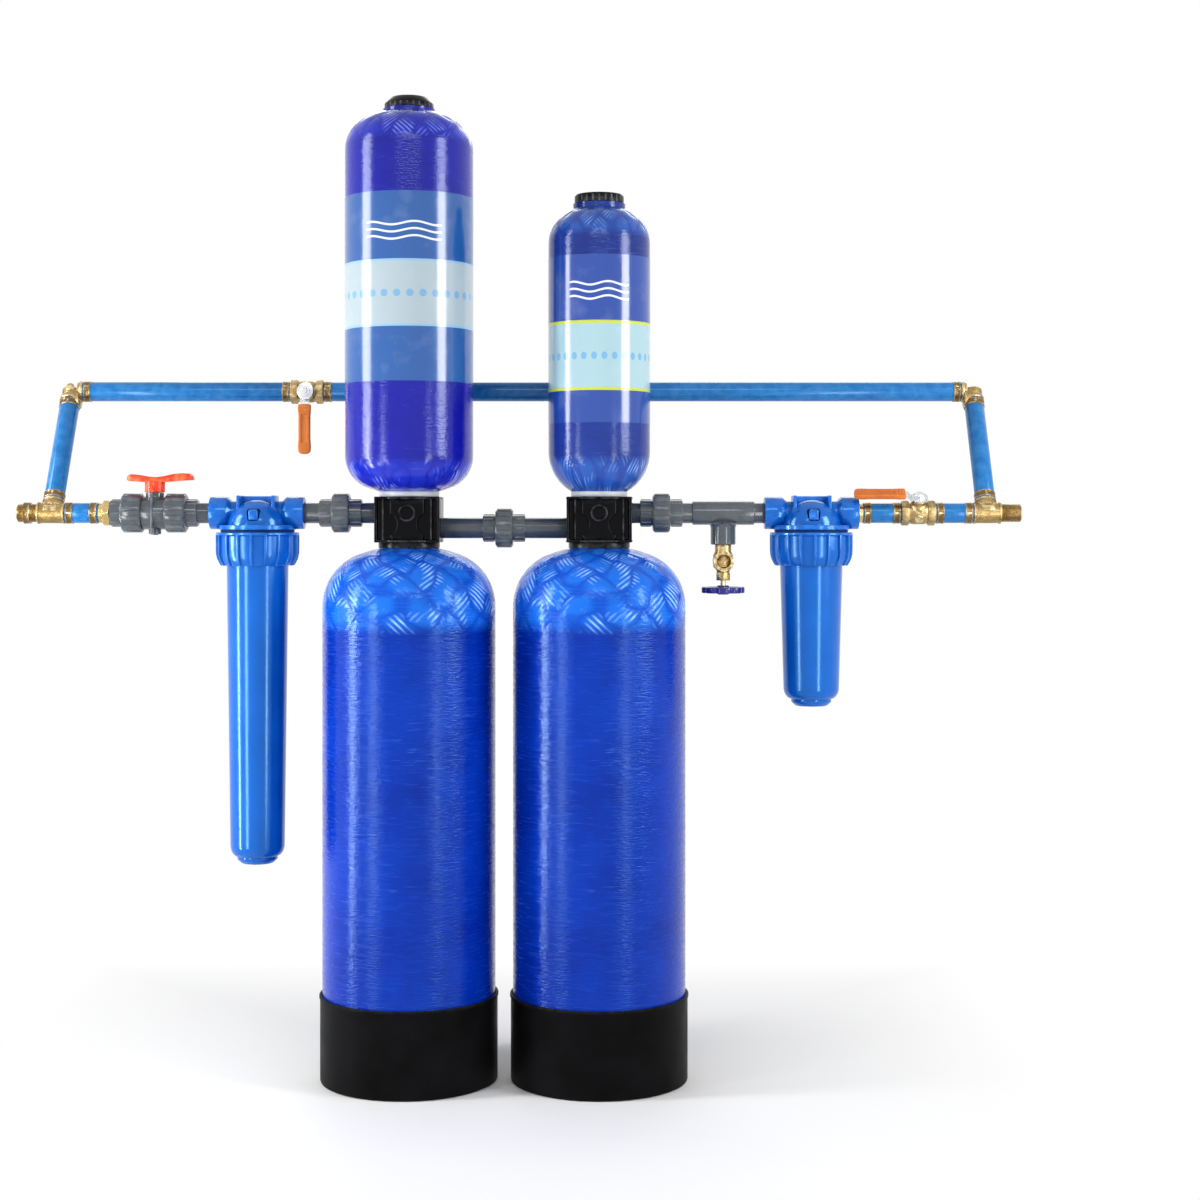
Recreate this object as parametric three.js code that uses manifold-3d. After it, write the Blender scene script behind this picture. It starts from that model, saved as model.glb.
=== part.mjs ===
// Whole house water filter: two floor tanks with heads and upper tanks, two filter housings,
// a grey plastic main run with three unions and a ball valve, and a blue bypass loop in brass fittings.
// Millimetres, +Z up. The origin is the centre of the left boot's underside, +X runs with the water,
// and the front of the part faces -Y.
import * as THREE from 'three';
import { mergeVertices } from 'three/addons/utils/BufferGeometryUtils.js';
import Module from 'manifold-3d';

const wasm = await Module();
wasm.setup();

// Facets round each kind of turned piece; a housing has one to each rib of its collar
const collarRibs = 18;
const tankFacets = 16;
const filterFacets = collarRibs;
const pipeFacets = 10;
const smallFacets = 6;
const ballRings = 4;
const domeSteps = 4;
const insideSteps = 2;
const crownSteps = 1;
const curveSteps = 3;

// Clearances and the overrun of a cut
const fit = 0.3;
const ballGap = 0.3;
const overrun = 2;

// The bore in which a faceted shaft of this radius turns with the fit to spare
function turningBore(radius, facets) {
  return (radius + fit) / Math.cos(Math.PI / facets);
}

// Layout: everything stands on the floor tanks, so its height follows from theirs
const tankSpacing = 247;
const tankTop = 690;
const neckHeight = 6;
const headHeight = 59;
const runRise = 38;
const lowRunRise = 18.5;
const bypassRise = 164;
const bypassDepth = 104;
const headBottom = tankTop + neckHeight;
const headTop = headBottom + headHeight;
const runHeight = headBottom + runRise;
const lowRunHeight = headBottom + lowRunRise;
const bypassHeight = runHeight + bypassRise;

// Floor tanks and their boots
const tankRadius = 112;
const tankWall = 4;
const tankKnuckle = 72;
const tankCrown = 190;
const neckRadius = 38;
const neckBore = 30.6;
const bootHeight = 112;
const bootFloor = 4;
const bootWall = 2.6;
const bootLip = 1;
const bootLipHeight = 4;
const mediaFreeboard = 150;
const riserRadius = 13;
const riserWall = 2.4;
const basketRadius = 24;
const basketHeight = 60;
const basketStand = 5;

// Heads, each between a floor tank and its upper tank
const headWidth = 84;
const headDepth = 72;
const headFlange = 6;
const headFlangeRadius = 43.5;
const headSkirtRadius = 33;
const headPortWall = 4.5;
const headPlug = 18;
const headPocket = 7;
const headColumn = 13;
const headBoss = 11;
const headBossRise = 3;
const headSocket = 15;
const headPassage = 20;

// Upper tanks: the left one is wider and taller
const upperTankWall = 3.5;
const upperCollar = 7;
const upperNeckBore = 30.6;
const upperMouthRadius = 34;
const capLip = 4;
const capPlug = 16;
const leftUpper = {
  radius: 83, height: 503, knuckle: 46, crown: 145, lowKnuckle: 44, lowCrown: 150, neck: 39,
};
const rightUpper = {
  radius: 66, height: 380, knuckle: 48, crown: 90, lowKnuckle: 60, lowCrown: 70, neck: 36.5,
};
const leftCap = { radius: 32, height: 15, chamfer: 8 };
const rightCap = { radius: 32, height: 12, chamfer: 2 };

// Grey plastic pipe and unions
const pvcRadius = 13.35;
const pvcBore = 9.4;
const unionLength = 55;
const unionSocketRadius = 17;
const unionThreadRadius = 20.6;
const unionNutRadius = 25.7;
const unionNutLength = 23;
const unionLip = 4;
const unionFlange = 4;
const nutRibs = 10;
const nutRibHeight = 1;
const headToFirstUnion = 19;
const firstUnionToFilter = 20;
const headToThirdUnion = 11;
const unionToTee = 13;
const teeToFilter = 13.5;
const filterToValve = 16;

// Inlet ball valve, grey plastic with a red handle
const valveLength = 113;
const valveBodyRadius = 21.5;
const valveNutNear = 15;
const valveNutFar = 42;
const valveThreadEnd = 36;
const valveBallRadius = 14;
const valveSeatBore = turningBore(valveBallRadius, pipeFacets);
const valveTowerRadius = 11.7;
const valveTowerTop = 26.5;
const valveFootRadius = 8;
const valveFootDepth = 28.5;
const valveStemRadius = 5.5;
const valveStemTop = 38;
const handleHubRadius = 13;
const handleHubHeight = 14;
const handleLongArm = 51;
const handleShortArm = 36;
const handleWidth = 19;
const handleThickness = 7;
const handleDip = 4;

// Filter housings
const capWidth = 122;
const portRadius = 21;
const portLength = 23;
const portTaper = 5;
const crossRadius = 15.6;
const domeRadius = 39.6;
const domeHeight = 34;
const flangeRadius = 49.5;
const flangeTop = 15.6;
const flangeThickness = 6;
const padWidth = 49;
const padDepth = 40;
const padTop = 22.7;
const padFin = 4;
const portSocket = 15;
const spigotRadius = 42;
const spigotWall = 3.5;
const spigotLength = 26;
const buttonWidth = 12;
const buttonHeight = 14;
const buttonSink = 15.6;
const buttonDrop = 2.6;
const buttonProud = 2;
const buttonTravel = 3;
const buttonReach = 40;
const inletHoleRadius = 3.6;
const collarRadius = 50.5;
const collarLength = 43;
const collarTaper = 15;
const collarFootRadius = 45;
const collarBandHeight = 4;
const collarRibHeight = 3.2;
const collarRibWidth = 3.4;
const sumpWall = 4;
const sumpRound = 15;
const sumpFootRadius = 26;
const sumpFootHeight = 9;
const sumpFootChamfer = 5;
const sealSection = 1.6;
const sealSteps = 4;
const cartridgeRadius = 30;
const cartridgeBore = 13;
const cartridgeSpigot = 12.5;
const cartridgeSink = 6.5;
const postReach = 19.5;
const longFilter = { name: 'long_filter', depth: 454, topRadius: 39.7, lowRadius: 35 };
const shortFilter = { name: 'short_filter', depth: 250, topRadius: 40.5, lowRadius: 36 };

// Plastic tee and the brass sampling valve under it
const teeLength = 80;
const teeRadius = 15.4;
const teeBranchRadius = 16.2;
const teeBranch = 41;
const sampleNeckRadius = 10.6;
const sampleDrop = 62.5;
const sampleBodyRadius = 13;
const sampleBodyDepth = 34;
const sampleBodyBack = 14;
const sampleBore = 9;
const sampleChamberBack = 9;
const sampleInletBore = 4.5;
const sampleDiscRadius = 6;
const sampleDiscThickness = 3;
const sampleNutRadius = 10;
const sampleNutHeight = 10;
const sampleNutDrop = 15;
const sampleStemRadius = 3.4;
const wheelRadius = 28;
const wheelLobe = 2.6;
const wheelLobes = 8;
const wheelLobeSteps = 4;
const wheelThickness = 8;
const wheelDrop = 37.5;
const wheelHubRadius = 8;
const wheelHubHeight = 12;
const wheelWindowRadius = 5;
const wheelWindowReach = 15;
const wheelWindows = 6;

// Blue pipe, its crimp rings, and brass fittings
const bluePipeRadius = 13;
const ringProud = 0.9;
const ringWidth = 9;
const barbRadius = 9.9;
const barbBore = 7.4;
const bluePipeBore = turningBore(barbRadius, pipeFacets);
const barbLength = 18;
const adapterLength = 16;
const adapterHexLength = 9;
const adapterHexRadius = 18.5;
const adapterShoulder = 12.6;
const adapterThread = 11.9;
const adapterThreadLength = 15.7;
const inletPipeLength = 43;
const brassTeeLength = 36;
const brassTeeRadius = 13;
const brassCollar = 3;
const brassCollarProud = 1.2;
const nippleLength = 26;
const nippleRadius = 12;
const nippleBore = 8;
const nippleRing = 8.7;
const elbowRadius = 12.6;
const elbowReach = 16;
const outletBarbLength = 5;
const outletPipeLength = 50;
const lastPipeLength = 49;

// Lever ball valves, brass with an orange grip
const leverValveLength = 44;
const leverValveHex = 16.5;
const leverValveHexLength = 10;
const leverValveWaist = 15.5;
const leverValveBossRadius = 9;
const leverValveBossTop = 22;
const leverBallRadius = 11;
const leverBallBore = 7.4;
const leverStemRadius = 4;
const leverPlate = 2.6;
const leverRise = 23;
const leverLength = 85;
const leverHubRadius = 11;
const leverNeckWidth = 13;
const leverNeckLength = 14;
const leverJoggle = 6;
const gripWidth = 17;
const gripThickness = 7;
const leverNutRadius = 7;
const leverNutHeight = 5;
const outletValveTilt = 54;
const bypassValveFromElbow = 318;

// Colours
const blueShell = new THREE.Color(0.06, 0.13, 0.62);
const bluePlastic = new THREE.Color(0.08, 0.33, 0.78);
const bluePipe = new THREE.Color(0.13, 0.42, 0.75);
const greyPlastic = new THREE.Color(0.24, 0.27, 0.29);
const blackPlastic = new THREE.Color(0.02, 0.02, 0.025);
const brassColour = new THREE.Color(0.6, 0.47, 0.24);
const redPlastic = new THREE.Color(0.9, 0.15, 0.06);
const orangeGrip = new THREE.Color(0.85, 0.36, 0.1);
const darkBlue = new THREE.Color(0.05, 0.06, 0.35);
const steelColour = new THREE.Color(0.75, 0.76, 0.78);
const whiteFibre = new THREE.Color(0.88, 0.88, 0.84);
const darkMedia = new THREE.Color(0.1, 0.1, 0.1);

const part = new THREE.Group();

function addPiece(parent, name, body, colour, roughness = 0.45, metalness = 0) {
  const material = new THREE.MeshStandardMaterial({ color: colour, roughness, metalness });
  const mesh = new THREE.Mesh(geometryOf(body), material);
  mesh.name = name;
  parent.add(mesh);
  return mesh;
}

function addGroup(parent, x, y, z) {
  const group = new THREE.Group();
  group.position.set(x, y, z);
  parent.add(group);
  return group;
}

// Solids for joining and cutting
function solid(geometry) {
  const bare = geometry.clone();
  bare.deleteAttribute('normal');
  bare.deleteAttribute('uv');
  const merged = mergeVertices(bare);
  const index = merged.index.array;
  const kept = [];
  for (let i = 0; i < index.length; i += 3) {
    const [a, b, c] = [index[i], index[i + 1], index[i + 2]];
    if (a !== b && b !== c && c !== a) kept.push(a, b, c);
  }
  const vertProperties = new Float32Array(merged.attributes.position.array);
  const triVerts = new Uint32Array(kept);
  return new wasm.Manifold(new wasm.Mesh({ numProp: 3, vertProperties, triVerts }));
}

function geometryOf(body) {
  const mesh = body.getMesh();
  const geometry = new THREE.BufferGeometry();
  geometry.setAttribute('position', new THREE.BufferAttribute(mesh.vertProperties, 3));
  geometry.setIndex(new THREE.BufferAttribute(mesh.triVerts, 1));
  geometry.computeVertexNormals();
  return geometry;
}

function join(...bodies) {
  return bodies.reduce((whole, next) => whole.add(next));
}

function cut(body, ...tools) {
  return tools.reduce((whole, next) => whole.subtract(next), body);
}

// A turned piece about Z from an outline of [radius, height], outer side upwards
function turned(outline, facets) {
  const points = outline.map(([radius, height]) => new THREE.Vector2(radius, height));
  return solid(new THREE.LatheGeometry(points, facets).rotateX(Math.PI / 2));
}

function rod(radius, low, high, facets) {
  return turned([[0, low], [radius, low], [radius, high], [0, high]], facets);
}

// A tube about Z whose outside steps: each step is [length, radius], from start upwards
function steppedTube(bore, start, steps, facets) {
  const outline = [[bore, start]];
  let height = start;
  for (const [length, radius] of steps) {
    outline.push([radius, height]);
    height += length;
    outline.push([radius, height]);
  }
  outline.push([bore, height], [bore, start]);
  return turned(outline, facets);
}

// A ball whose poles lie on Z
function ball(radius) {
  return solid(new THREE.SphereGeometry(radius, pipeFacets, ballRings).rotateX(Math.PI / 2));
}

function block(width, depth, low, high) {
  const box = new THREE.BoxGeometry(width, depth, high - low);
  return solid(box.translate(0, 0, (low + high) / 2));
}

function hexPrism(radius, low, high) {
  return rod(radius, low, high, 6);
}

function extruded(shape, depth, curveSegments = curveSteps) {
  return solid(new THREE.ExtrudeGeometry(shape, { depth, bevelEnabled: false, curveSegments }));
}

// Copies of a body, evenly about Z
function around(body, count) {
  return Array.from({ length: count }, (_, index) => body.rotate([0, 0, 360 * index / count]));
}

function alongX(body) {
  return body.rotate([0, 90, 0]);
}

function alongMinusX(body) {
  return body.rotate([0, -90, 0]);
}

function towardsFront(body) {
  return body.rotate([90, 0, 0]);
}

function arc(centreX, centreY, radius, from, to, steps) {
  const points = [];
  for (let i = 0; i <= steps; i += 1) {
    const angle = from + (to - from) * i / steps;
    points.push([centreX + radius * Math.cos(angle), centreY + radius * Math.sin(angle)]);
  }
  return points;
}

// A dished end: a knuckle arc from the wall, then a crown arc that stops at the neck.
// Heights count from the end of the straight wall.
function dishedEnd(radius, knuckle, crown, neck, steps) {
  const across = radius - knuckle;
  const sink = Math.sqrt((crown - knuckle) ** 2 - across ** 2);
  const meet = Math.atan2(sink, across);
  const knuckleArc = arc(across, 0, knuckle, 0, meet, steps);
  const crownArc = arc(0, -sink, crown, meet, Math.acos(neck / crown), crownSteps);
  return [...knuckleArc, ...crownArc.slice(1)];
}

function dishHeight(radius, knuckle, crown) {
  return crown - Math.sqrt((crown - knuckle) ** 2 - (radius - knuckle) ** 2);
}

function raised(outline, height) {
  return outline.map(([radius, z]) => [radius, height + z]);
}

function hanging(outline, height) {
  return outline.map(([radius, z]) => [radius, height - z]).reverse();
}

// Boots
function boot() {
  const outer = tankRadius + fit + bootWall;
  const inner = tankRadius + fit;
  const lipBase = bootHeight - bootLipHeight;
  return turned([
    [0, 0], [outer, 0], [outer, lipBase], [outer + bootLip, lipBase + bootLip],
    [outer + bootLip, bootHeight], [inner, bootHeight], [inner, bootFloor], [0, bootFloor],
  ], tankFacets);
}

const tankBottom = bootFloor + fit;
const tankDish = dishHeight(tankRadius, tankKnuckle, tankCrown);
const tankWallLow = tankBottom + tankDish;
const tankNeckTop = headBottom - headFlange - fit;
const tankWallHigh = tankTop - tankDish;

function floorTank() {
  const inside = tankRadius - tankWall;
  const lowDish = dishedEnd(tankRadius, tankKnuckle, tankCrown, 0, domeSteps);
  const outerLow = hanging(lowDish, tankWallLow);
  const highDish = dishedEnd(tankRadius, tankKnuckle, tankCrown, neckRadius, domeSteps);
  const outerHigh = raised(highDish, tankWallHigh);
  const knuckle = tankKnuckle - tankWall;
  const crown = tankCrown - tankWall;
  const innerHigh = raised(dishedEnd(inside, knuckle, crown, neckBore, insideSteps), tankWallHigh).reverse();
  const innerLow = hanging(dishedEnd(inside, knuckle, crown, 0, insideSteps), tankWallLow).reverse();
  return turned([
    ...outerLow, ...outerHigh, [neckRadius, tankNeckTop], [neckBore, tankNeckTop],
    ...innerHigh, ...innerLow,
  ], tankFacets);
}

function mediaBed() {
  const inside = tankRadius - tankWall - fit;
  const knuckle = tankKnuckle - tankWall - fit;
  const crown = tankCrown - tankWall - fit;
  const bed = turned([
    ...hanging(dishedEnd(inside, knuckle, crown, 0, insideSteps), tankWallLow),
    [inside, tankWallHigh - mediaFreeboard], [0, tankWallHigh - mediaFreeboard],
  ], tankFacets);
  const basketTop = riserFoot + basketHeight + fit;
  return cut(
    bed,
    rod(riserRadius + fit, riserFoot, tankTop, pipeFacets),
    rod(basketRadius + fit, tankBottom + tankWall + fit, basketTop, pipeFacets),
  );
}

// The riser tube stands in its slotted basket on the tank's floor and ends in the head
const riserFoot = tankBottom + tankWall + basketStand;

function riserTube() {
  const basketLength = basketHeight;
  const tubeLength = headBottom + headPassage - fit - riserFoot - basketLength;
  const bore = riserRadius - riserWall;
  return steppedTube(bore, riserFoot, [[basketLength, basketRadius], [tubeLength, riserRadius]], pipeFacets);
}

// Heads. The high port faces -X and the low port faces +X: the right head is turned half round.
function headPocketShape(side) {
  const shape = new THREE.Shape();
  const wall = headWidth / 2 - headFlange / 2;
  const low = headBottom + headFlange;
  const high = headTop - headFlange;
  const middle = (low + high) / 2;
  shape.moveTo(side * wall, low);
  shape.lineTo(side * wall, high);
  shape.lineTo(side * (headColumn + headBossRise), high);
  shape.quadraticCurveTo(side * (headColumn - headBossRise), middle, side * (headColumn + headBossRise), low);
  shape.closePath();
  return shape;
}

function portTube(height, side) {
  const reach = headWidth / 2;
  const tube = rod(pvcRadius + headPortWall, 0, reach, pipeFacets);
  const turnedTube = side < 0 ? alongMinusX(tube) : alongX(tube);
  return turnedTube.translate([0, 0, height]);
}

function portBore(height, side) {
  const mouth = headWidth / 2;
  const socket = rod(pvcRadius + fit, mouth - headSocket, mouth + overrun, pipeFacets);
  const passage = rod(pvcBore, 0, mouth, pipeFacets);
  const bore = join(socket, passage);
  return (side < 0 ? alongMinusX(bore) : alongX(bore)).translate([0, 0, height]);
}

function head() {
  const core = block(headWidth, headDepth, headBottom, headTop);
  const pockets = [];
  for (const side of [-1, 1]) {
    const pocket = towardsFront(extruded(headPocketShape(side), headPocket + overrun));
    pockets.push(pocket.translate([0, -headDepth / 2 + headPocket, 0]));
    pockets.push(pocket.translate([0, headDepth / 2 + overrun, 0]));
  }
  const topFlange = rod(headFlangeRadius, headTop - headFlange / 2, headTop, tankFacets);
  const lowFlange = rod(headFlangeRadius, headBottom, headBottom + headFlange / 2, tankFacets);
  const skirt = rod(headSkirtRadius, headBottom - headFlange, headBottom + fit, tankFacets);
  const plugRadius = neckBore - fit;
  const lowPlug = rod(plugRadius, headBottom - headFlange - headPlug, headBottom + headFlange, tankFacets);
  const highPlug = rod(upperNeckBore - fit, headTop - headFlange, headTop + headPlug, tankFacets);
  const bossFoot = headDepth / 2 - headPocket;
  const boss = towardsFront(rod(headBoss, bossFoot, headDepth / 2 + headBossRise, pipeFacets))
    .translate([0, 0, runHeight]);
  const shell = join(
    cut(core, ...pockets), topFlange, lowFlange, skirt, lowPlug, highPlug, boss,
    portTube(runHeight, -1), portTube(lowRunHeight, 1),
  );
  const riserHole = rod(riserRadius + fit, headBottom - headFlange - headPlug - overrun,
    headBottom + headPassage, pipeFacets);
  const upHole = rod(pvcBore, runHeight, headTop + headPlug + overrun, pipeFacets);
  return cut(shell, riserHole, upHole, portBore(runHeight, -1), portBore(lowRunHeight, 1));
}

// Upper tanks stand on the heads, neck down
function upperTank(tank) {
  const inside = tank.radius - upperTankWall;
  const top = headTop + tank.height;
  const lowEnd = dishedEnd(tank.radius, tank.lowKnuckle, tank.lowCrown, tank.neck, domeSteps);
  const highEnd = dishedEnd(tank.radius, tank.knuckle, tank.crown, upperMouthRadius, domeSteps);
  const wallLow = headTop + upperCollar + lowEnd[lowEnd.length - 1][1];
  const wallHigh = top - dishHeight(tank.radius, tank.knuckle, tank.crown);
  const outerLow = hanging(lowEnd, wallLow);
  const outerHigh = raised(highEnd, wallHigh);
  const innerHigh = raised(dishedEnd(inside, tank.knuckle - upperTankWall, tank.crown - upperTankWall,
    upperNeckBore, insideSteps), wallHigh).reverse();
  const innerLow = hanging(dishedEnd(inside, tank.lowKnuckle - upperTankWall, tank.lowCrown - upperTankWall,
    upperNeckBore, insideSteps), wallLow).reverse();
  return turned([
    [upperNeckBore, headTop + fit], [tank.neck, headTop + fit], ...outerLow, ...outerHigh,
    [upperMouthRadius, top], [upperNeckBore, top], ...innerHigh, ...innerLow, [upperNeckBore, headTop + fit],
  ], tankFacets);
}

function upperCap(tank, cap) {
  const low = headTop + tank.height + fit;
  const high = low + cap.height;
  const rise = cap.chamfer;
  return turned([
    [0, low - capPlug], [upperNeckBore - fit, low - capPlug], [upperNeckBore - fit, low],
    [cap.radius, low], [cap.radius, high - rise], [cap.radius - rise, high],
    [cap.radius - rise - capLip, high], [cap.radius - rise - capLip, high - capLip], [0, high - capLip],
  ], tankFacets);
}

// One stack: boot, floor tank, bed, riser, head, upper tank and its cap
function addStack(side, x, upper, cap) {
  const stack = addGroup(part, x, 0, 0);
  addPiece(stack, `${side}_boot`, boot(), blackPlastic, 0.6);
  addPiece(stack, `${side}_tank`, floorTank(), blueShell, 0.25);
  addPiece(stack, `${side}_media_bed`, mediaBed(), darkMedia, 0.9);
  addPiece(stack, `${side}_riser_tube`, riserTube(), whiteFibre, 0.5);
  const headMesh = addPiece(stack, `${side}_head`, head(), blackPlastic, 0.4);
  addPiece(stack, `${side}_upper_tank`, upperTank(upper), blueShell, 0.25);
  addPiece(stack, `${side}_upper_cap`, upperCap(upper, cap), blackPlastic, 0.4);
  return headMesh;
}

addStack('left', 0, leftUpper, leftCap);
const rightHead = addStack('right', tankSpacing, rightUpper, rightCap);
rightHead.rotation.z = Math.PI;

// Union nuts and every other ribbed nut: a body with shallow ribs, a lip bore and a thread bore
function ribbedOutline(radius, ribHeight, ribs) {
  const low = radius - ribHeight;
  const corners = [radius, radius, low, low];
  const points = [];
  for (let i = 0; i < ribs * corners.length; i += 1) {
    const angle = 2 * Math.PI * i / (ribs * corners.length);
    const r = corners[i % corners.length];
    points.push(new THREE.Vector2(r * Math.cos(angle), r * Math.sin(angle)));
  }
  return new THREE.Shape(points);
}

// The nut runs along Z from low to high, with its lip at the high end
function ribbedNut(low, high) {
  const lipBore = turningBore(unionSocketRadius, pipeFacets);
  const threadBore = turningBore(unionThreadRadius, pipeFacets);
  const ribbed = ribbedOutline(unionNutRadius, nutRibHeight, nutRibs);
  const body = extruded(ribbed, high - low).translate([0, 0, low]);
  const lipFace = high - unionLip;
  return cut(
    body,
    rod(lipBore, low - overrun, high + overrun, pipeFacets),
    rod(threadBore, low - overrun, lipFace, pipeFacets),
  );
}

// A tail end: flange, socket, and the pipe glued into it, outwards along Z from the union's middle
function tailEnd(pipe) {
  const near = unionNutLength / 2 - unionLip - fit - unionFlange;
  const socket = unionLength / 2 - near - unionFlange;
  return steppedTube(pvcBore, near,
    [[unionFlange, unionThreadRadius], [socket, unionSocketRadius], [pipe, pvcRadius]], pipeFacets);
}

// A threaded end: thread under the nut, socket, and the pipe glued into it
function threadedEnd(pipe, bore = pvcBore) {
  const near = unionNutLength / 2 - unionLip - 2 * fit - unionFlange;
  const thread = near + unionNutLength / 2;
  const socket = unionLength / 2 - unionNutLength / 2;
  return steppedTube(bore, -near,
    [[thread, unionThreadRadius], [socket, unionSocketRadius], [pipe, pvcRadius]], pipeFacets);
}

function addUnion(name, x, z, leftPipe, rightPipe) {
  const group = addGroup(part, x, 0, z);
  addPiece(group, `${name}_left_end`, alongMinusX(tailEnd(leftPipe)), greyPlastic);
  if (rightPipe > 0) {
    addPiece(group, `${name}_right_end`, alongX(threadedEnd(rightPipe)), greyPlastic);
  }
  const nut = ribbedNut(-unionNutLength / 2, unionNutLength / 2);
  addPiece(group, `${name}_nut`, alongMinusX(nut), greyPlastic);
}

const headInsert = headSocket - fit;
const portInsert = portSocket - fit;
const firstUnionX = -(headWidth / 2 + headToFirstUnion + unionLength / 2);
const longFilterX = firstUnionX - unionLength / 2 - firstUnionToFilter - capWidth / 2;
const secondUnionX = tankSpacing / 2;
const secondUnionPipe = secondUnionX - headWidth / 2 - unionLength / 2;
const thirdUnionX = tankSpacing + headWidth / 2 + headToThirdUnion + unionLength / 2;
const teeX = thirdUnionX + unionLength / 2 + unionToTee + teeLength / 2;
const shortFilterX = teeX + teeLength / 2 + teeToFilter + capWidth / 2;

const firstLeftPipe = firstUnionToFilter + portInsert;
const firstRightPipe = headToFirstUnion + headInsert;
const secondPipe = secondUnionPipe + headInsert;

addUnion('first_union', firstUnionX, runHeight, firstLeftPipe, firstRightPipe);
addUnion('second_union', secondUnionX, lowRunHeight, secondPipe, secondPipe);
addUnion('third_union', thirdUnionX, runHeight, headToThirdUnion + headInsert, 0);

// The tee is glued in one with the third union's threaded end and the pipe to the short filter
function samplingTee() {
  const run = steppedTube(0, -teeLength / 2,
    [[teeLength, teeRadius], [teeToFilter + portInsert, pvcRadius]], pipeFacets);
  const tailLength = unionToTee + overrun;
  const tail = threadedEnd(tailLength, 0).translate([0, 0, -(teeX - thirdUnionX)]);
  const branch = rod(teeBranchRadius, -teeBranch, 0, pipeFacets);
  const branchBore = rod(sampleNeckRadius + fit, -teeBranch - overrun, -teeRadius, pipeFacets);
  const throughBore = rod(pvcBore - fit, -teeRadius - overrun, 0, pipeFacets);
  const runBore = rod(pvcBore, -teeX + thirdUnionX - unionLength, capWidth, pipeFacets);
  return cut(join(alongX(run), alongX(tail), branch), branchBore, throughBore, alongX(runBore));
}

const teeGroup = addGroup(part, teeX, 0, runHeight);
addPiece(teeGroup, 'sampling_tee', samplingTee(), greyPlastic);

// Sampling valve: neck into the tee, outlet towards the front, nut and handwheel below
function samplingValveBody() {
  const neckTop = -teeRadius - fit;
  const neck = rod(sampleNeckRadius, -sampleDrop, neckTop, pipeFacets);
  const outletFront = sampleBodyDepth - sampleBodyBack;
  const outlet = towardsFront(rod(sampleBodyRadius, -sampleBodyBack, outletFront, pipeFacets))
    .translate([0, 0, -sampleDrop]);
  const nutTop = -sampleDrop - sampleNutDrop;
  const throatRadius = sampleNutRadius - sampleStemRadius / 2;
  const throat = rod(throatRadius, nutTop - sampleNutHeight / 2, -sampleDrop, smallFacets);
  const nut = hexPrism(sampleNutRadius, nutTop - sampleNutHeight, nutTop);
  const bore = towardsFront(rod(sampleBore, -sampleChamberBack, sampleBodyDepth, pipeFacets))
    .translate([0, 0, -sampleDrop]);
  const inlet = rod(sampleInletBore, -sampleDrop, neckTop + overrun, smallFacets);
  const stemHole = turningBore(sampleStemRadius, smallFacets);
  const stemBore = rod(stemHole, nutTop - sampleNutHeight - overrun, -sampleDrop, smallFacets);
  return cut(join(neck, outlet, throat, nut), bore, inlet, stemBore);
}

function handwheel() {
  const points = [];
  const steps = wheelLobes * wheelLobeSteps;
  for (let i = 0; i < steps; i += 1) {
    const angle = 2 * Math.PI * i / steps;
    const radius = wheelRadius - wheelLobe * (1 - Math.cos(wheelLobes * angle)) / 2;
    points.push(new THREE.Vector2(radius * Math.cos(angle), radius * Math.sin(angle)));
  }
  const rim = extruded(new THREE.Shape(points), wheelThickness)
    .translate([0, 0, -wheelDrop - wheelThickness / 2]);
  const window = rod(wheelWindowRadius, -wheelDrop - wheelThickness, -wheelDrop + wheelThickness, smallFacets)
    .translate([0, wheelWindowReach, 0]);
  const hubTop = wheelHubHeight / 2 - wheelDrop;
  const hub = rod(wheelHubRadius, hubTop - wheelHubHeight, hubTop, smallFacets);
  const stem = rod(sampleStemRadius, -wheelDrop, sampleDiscThickness / 2, smallFacets);
  const disc = rod(sampleDiscRadius, 0, sampleDiscThickness, smallFacets);
  return join(cut(rim, ...around(window, wheelWindows)), hub, stem, disc);
}

addPiece(teeGroup, 'sampling_valve_body', samplingValveBody(), brassColour, 0.4, 0.9);
const wheelGroup = addGroup(teeGroup, 0, 0, -sampleDrop);
addPiece(wheelGroup, 'sampling_valve_handwheel', handwheel(), darkBlue);

// Filter housings: cap, pressure button, threaded sump with a ribbed collar, seal and cartridge
const flangeBottom = -flangeTop - flangeThickness;
const collarTop = flangeBottom - 2 * sealSection - fit;

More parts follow.
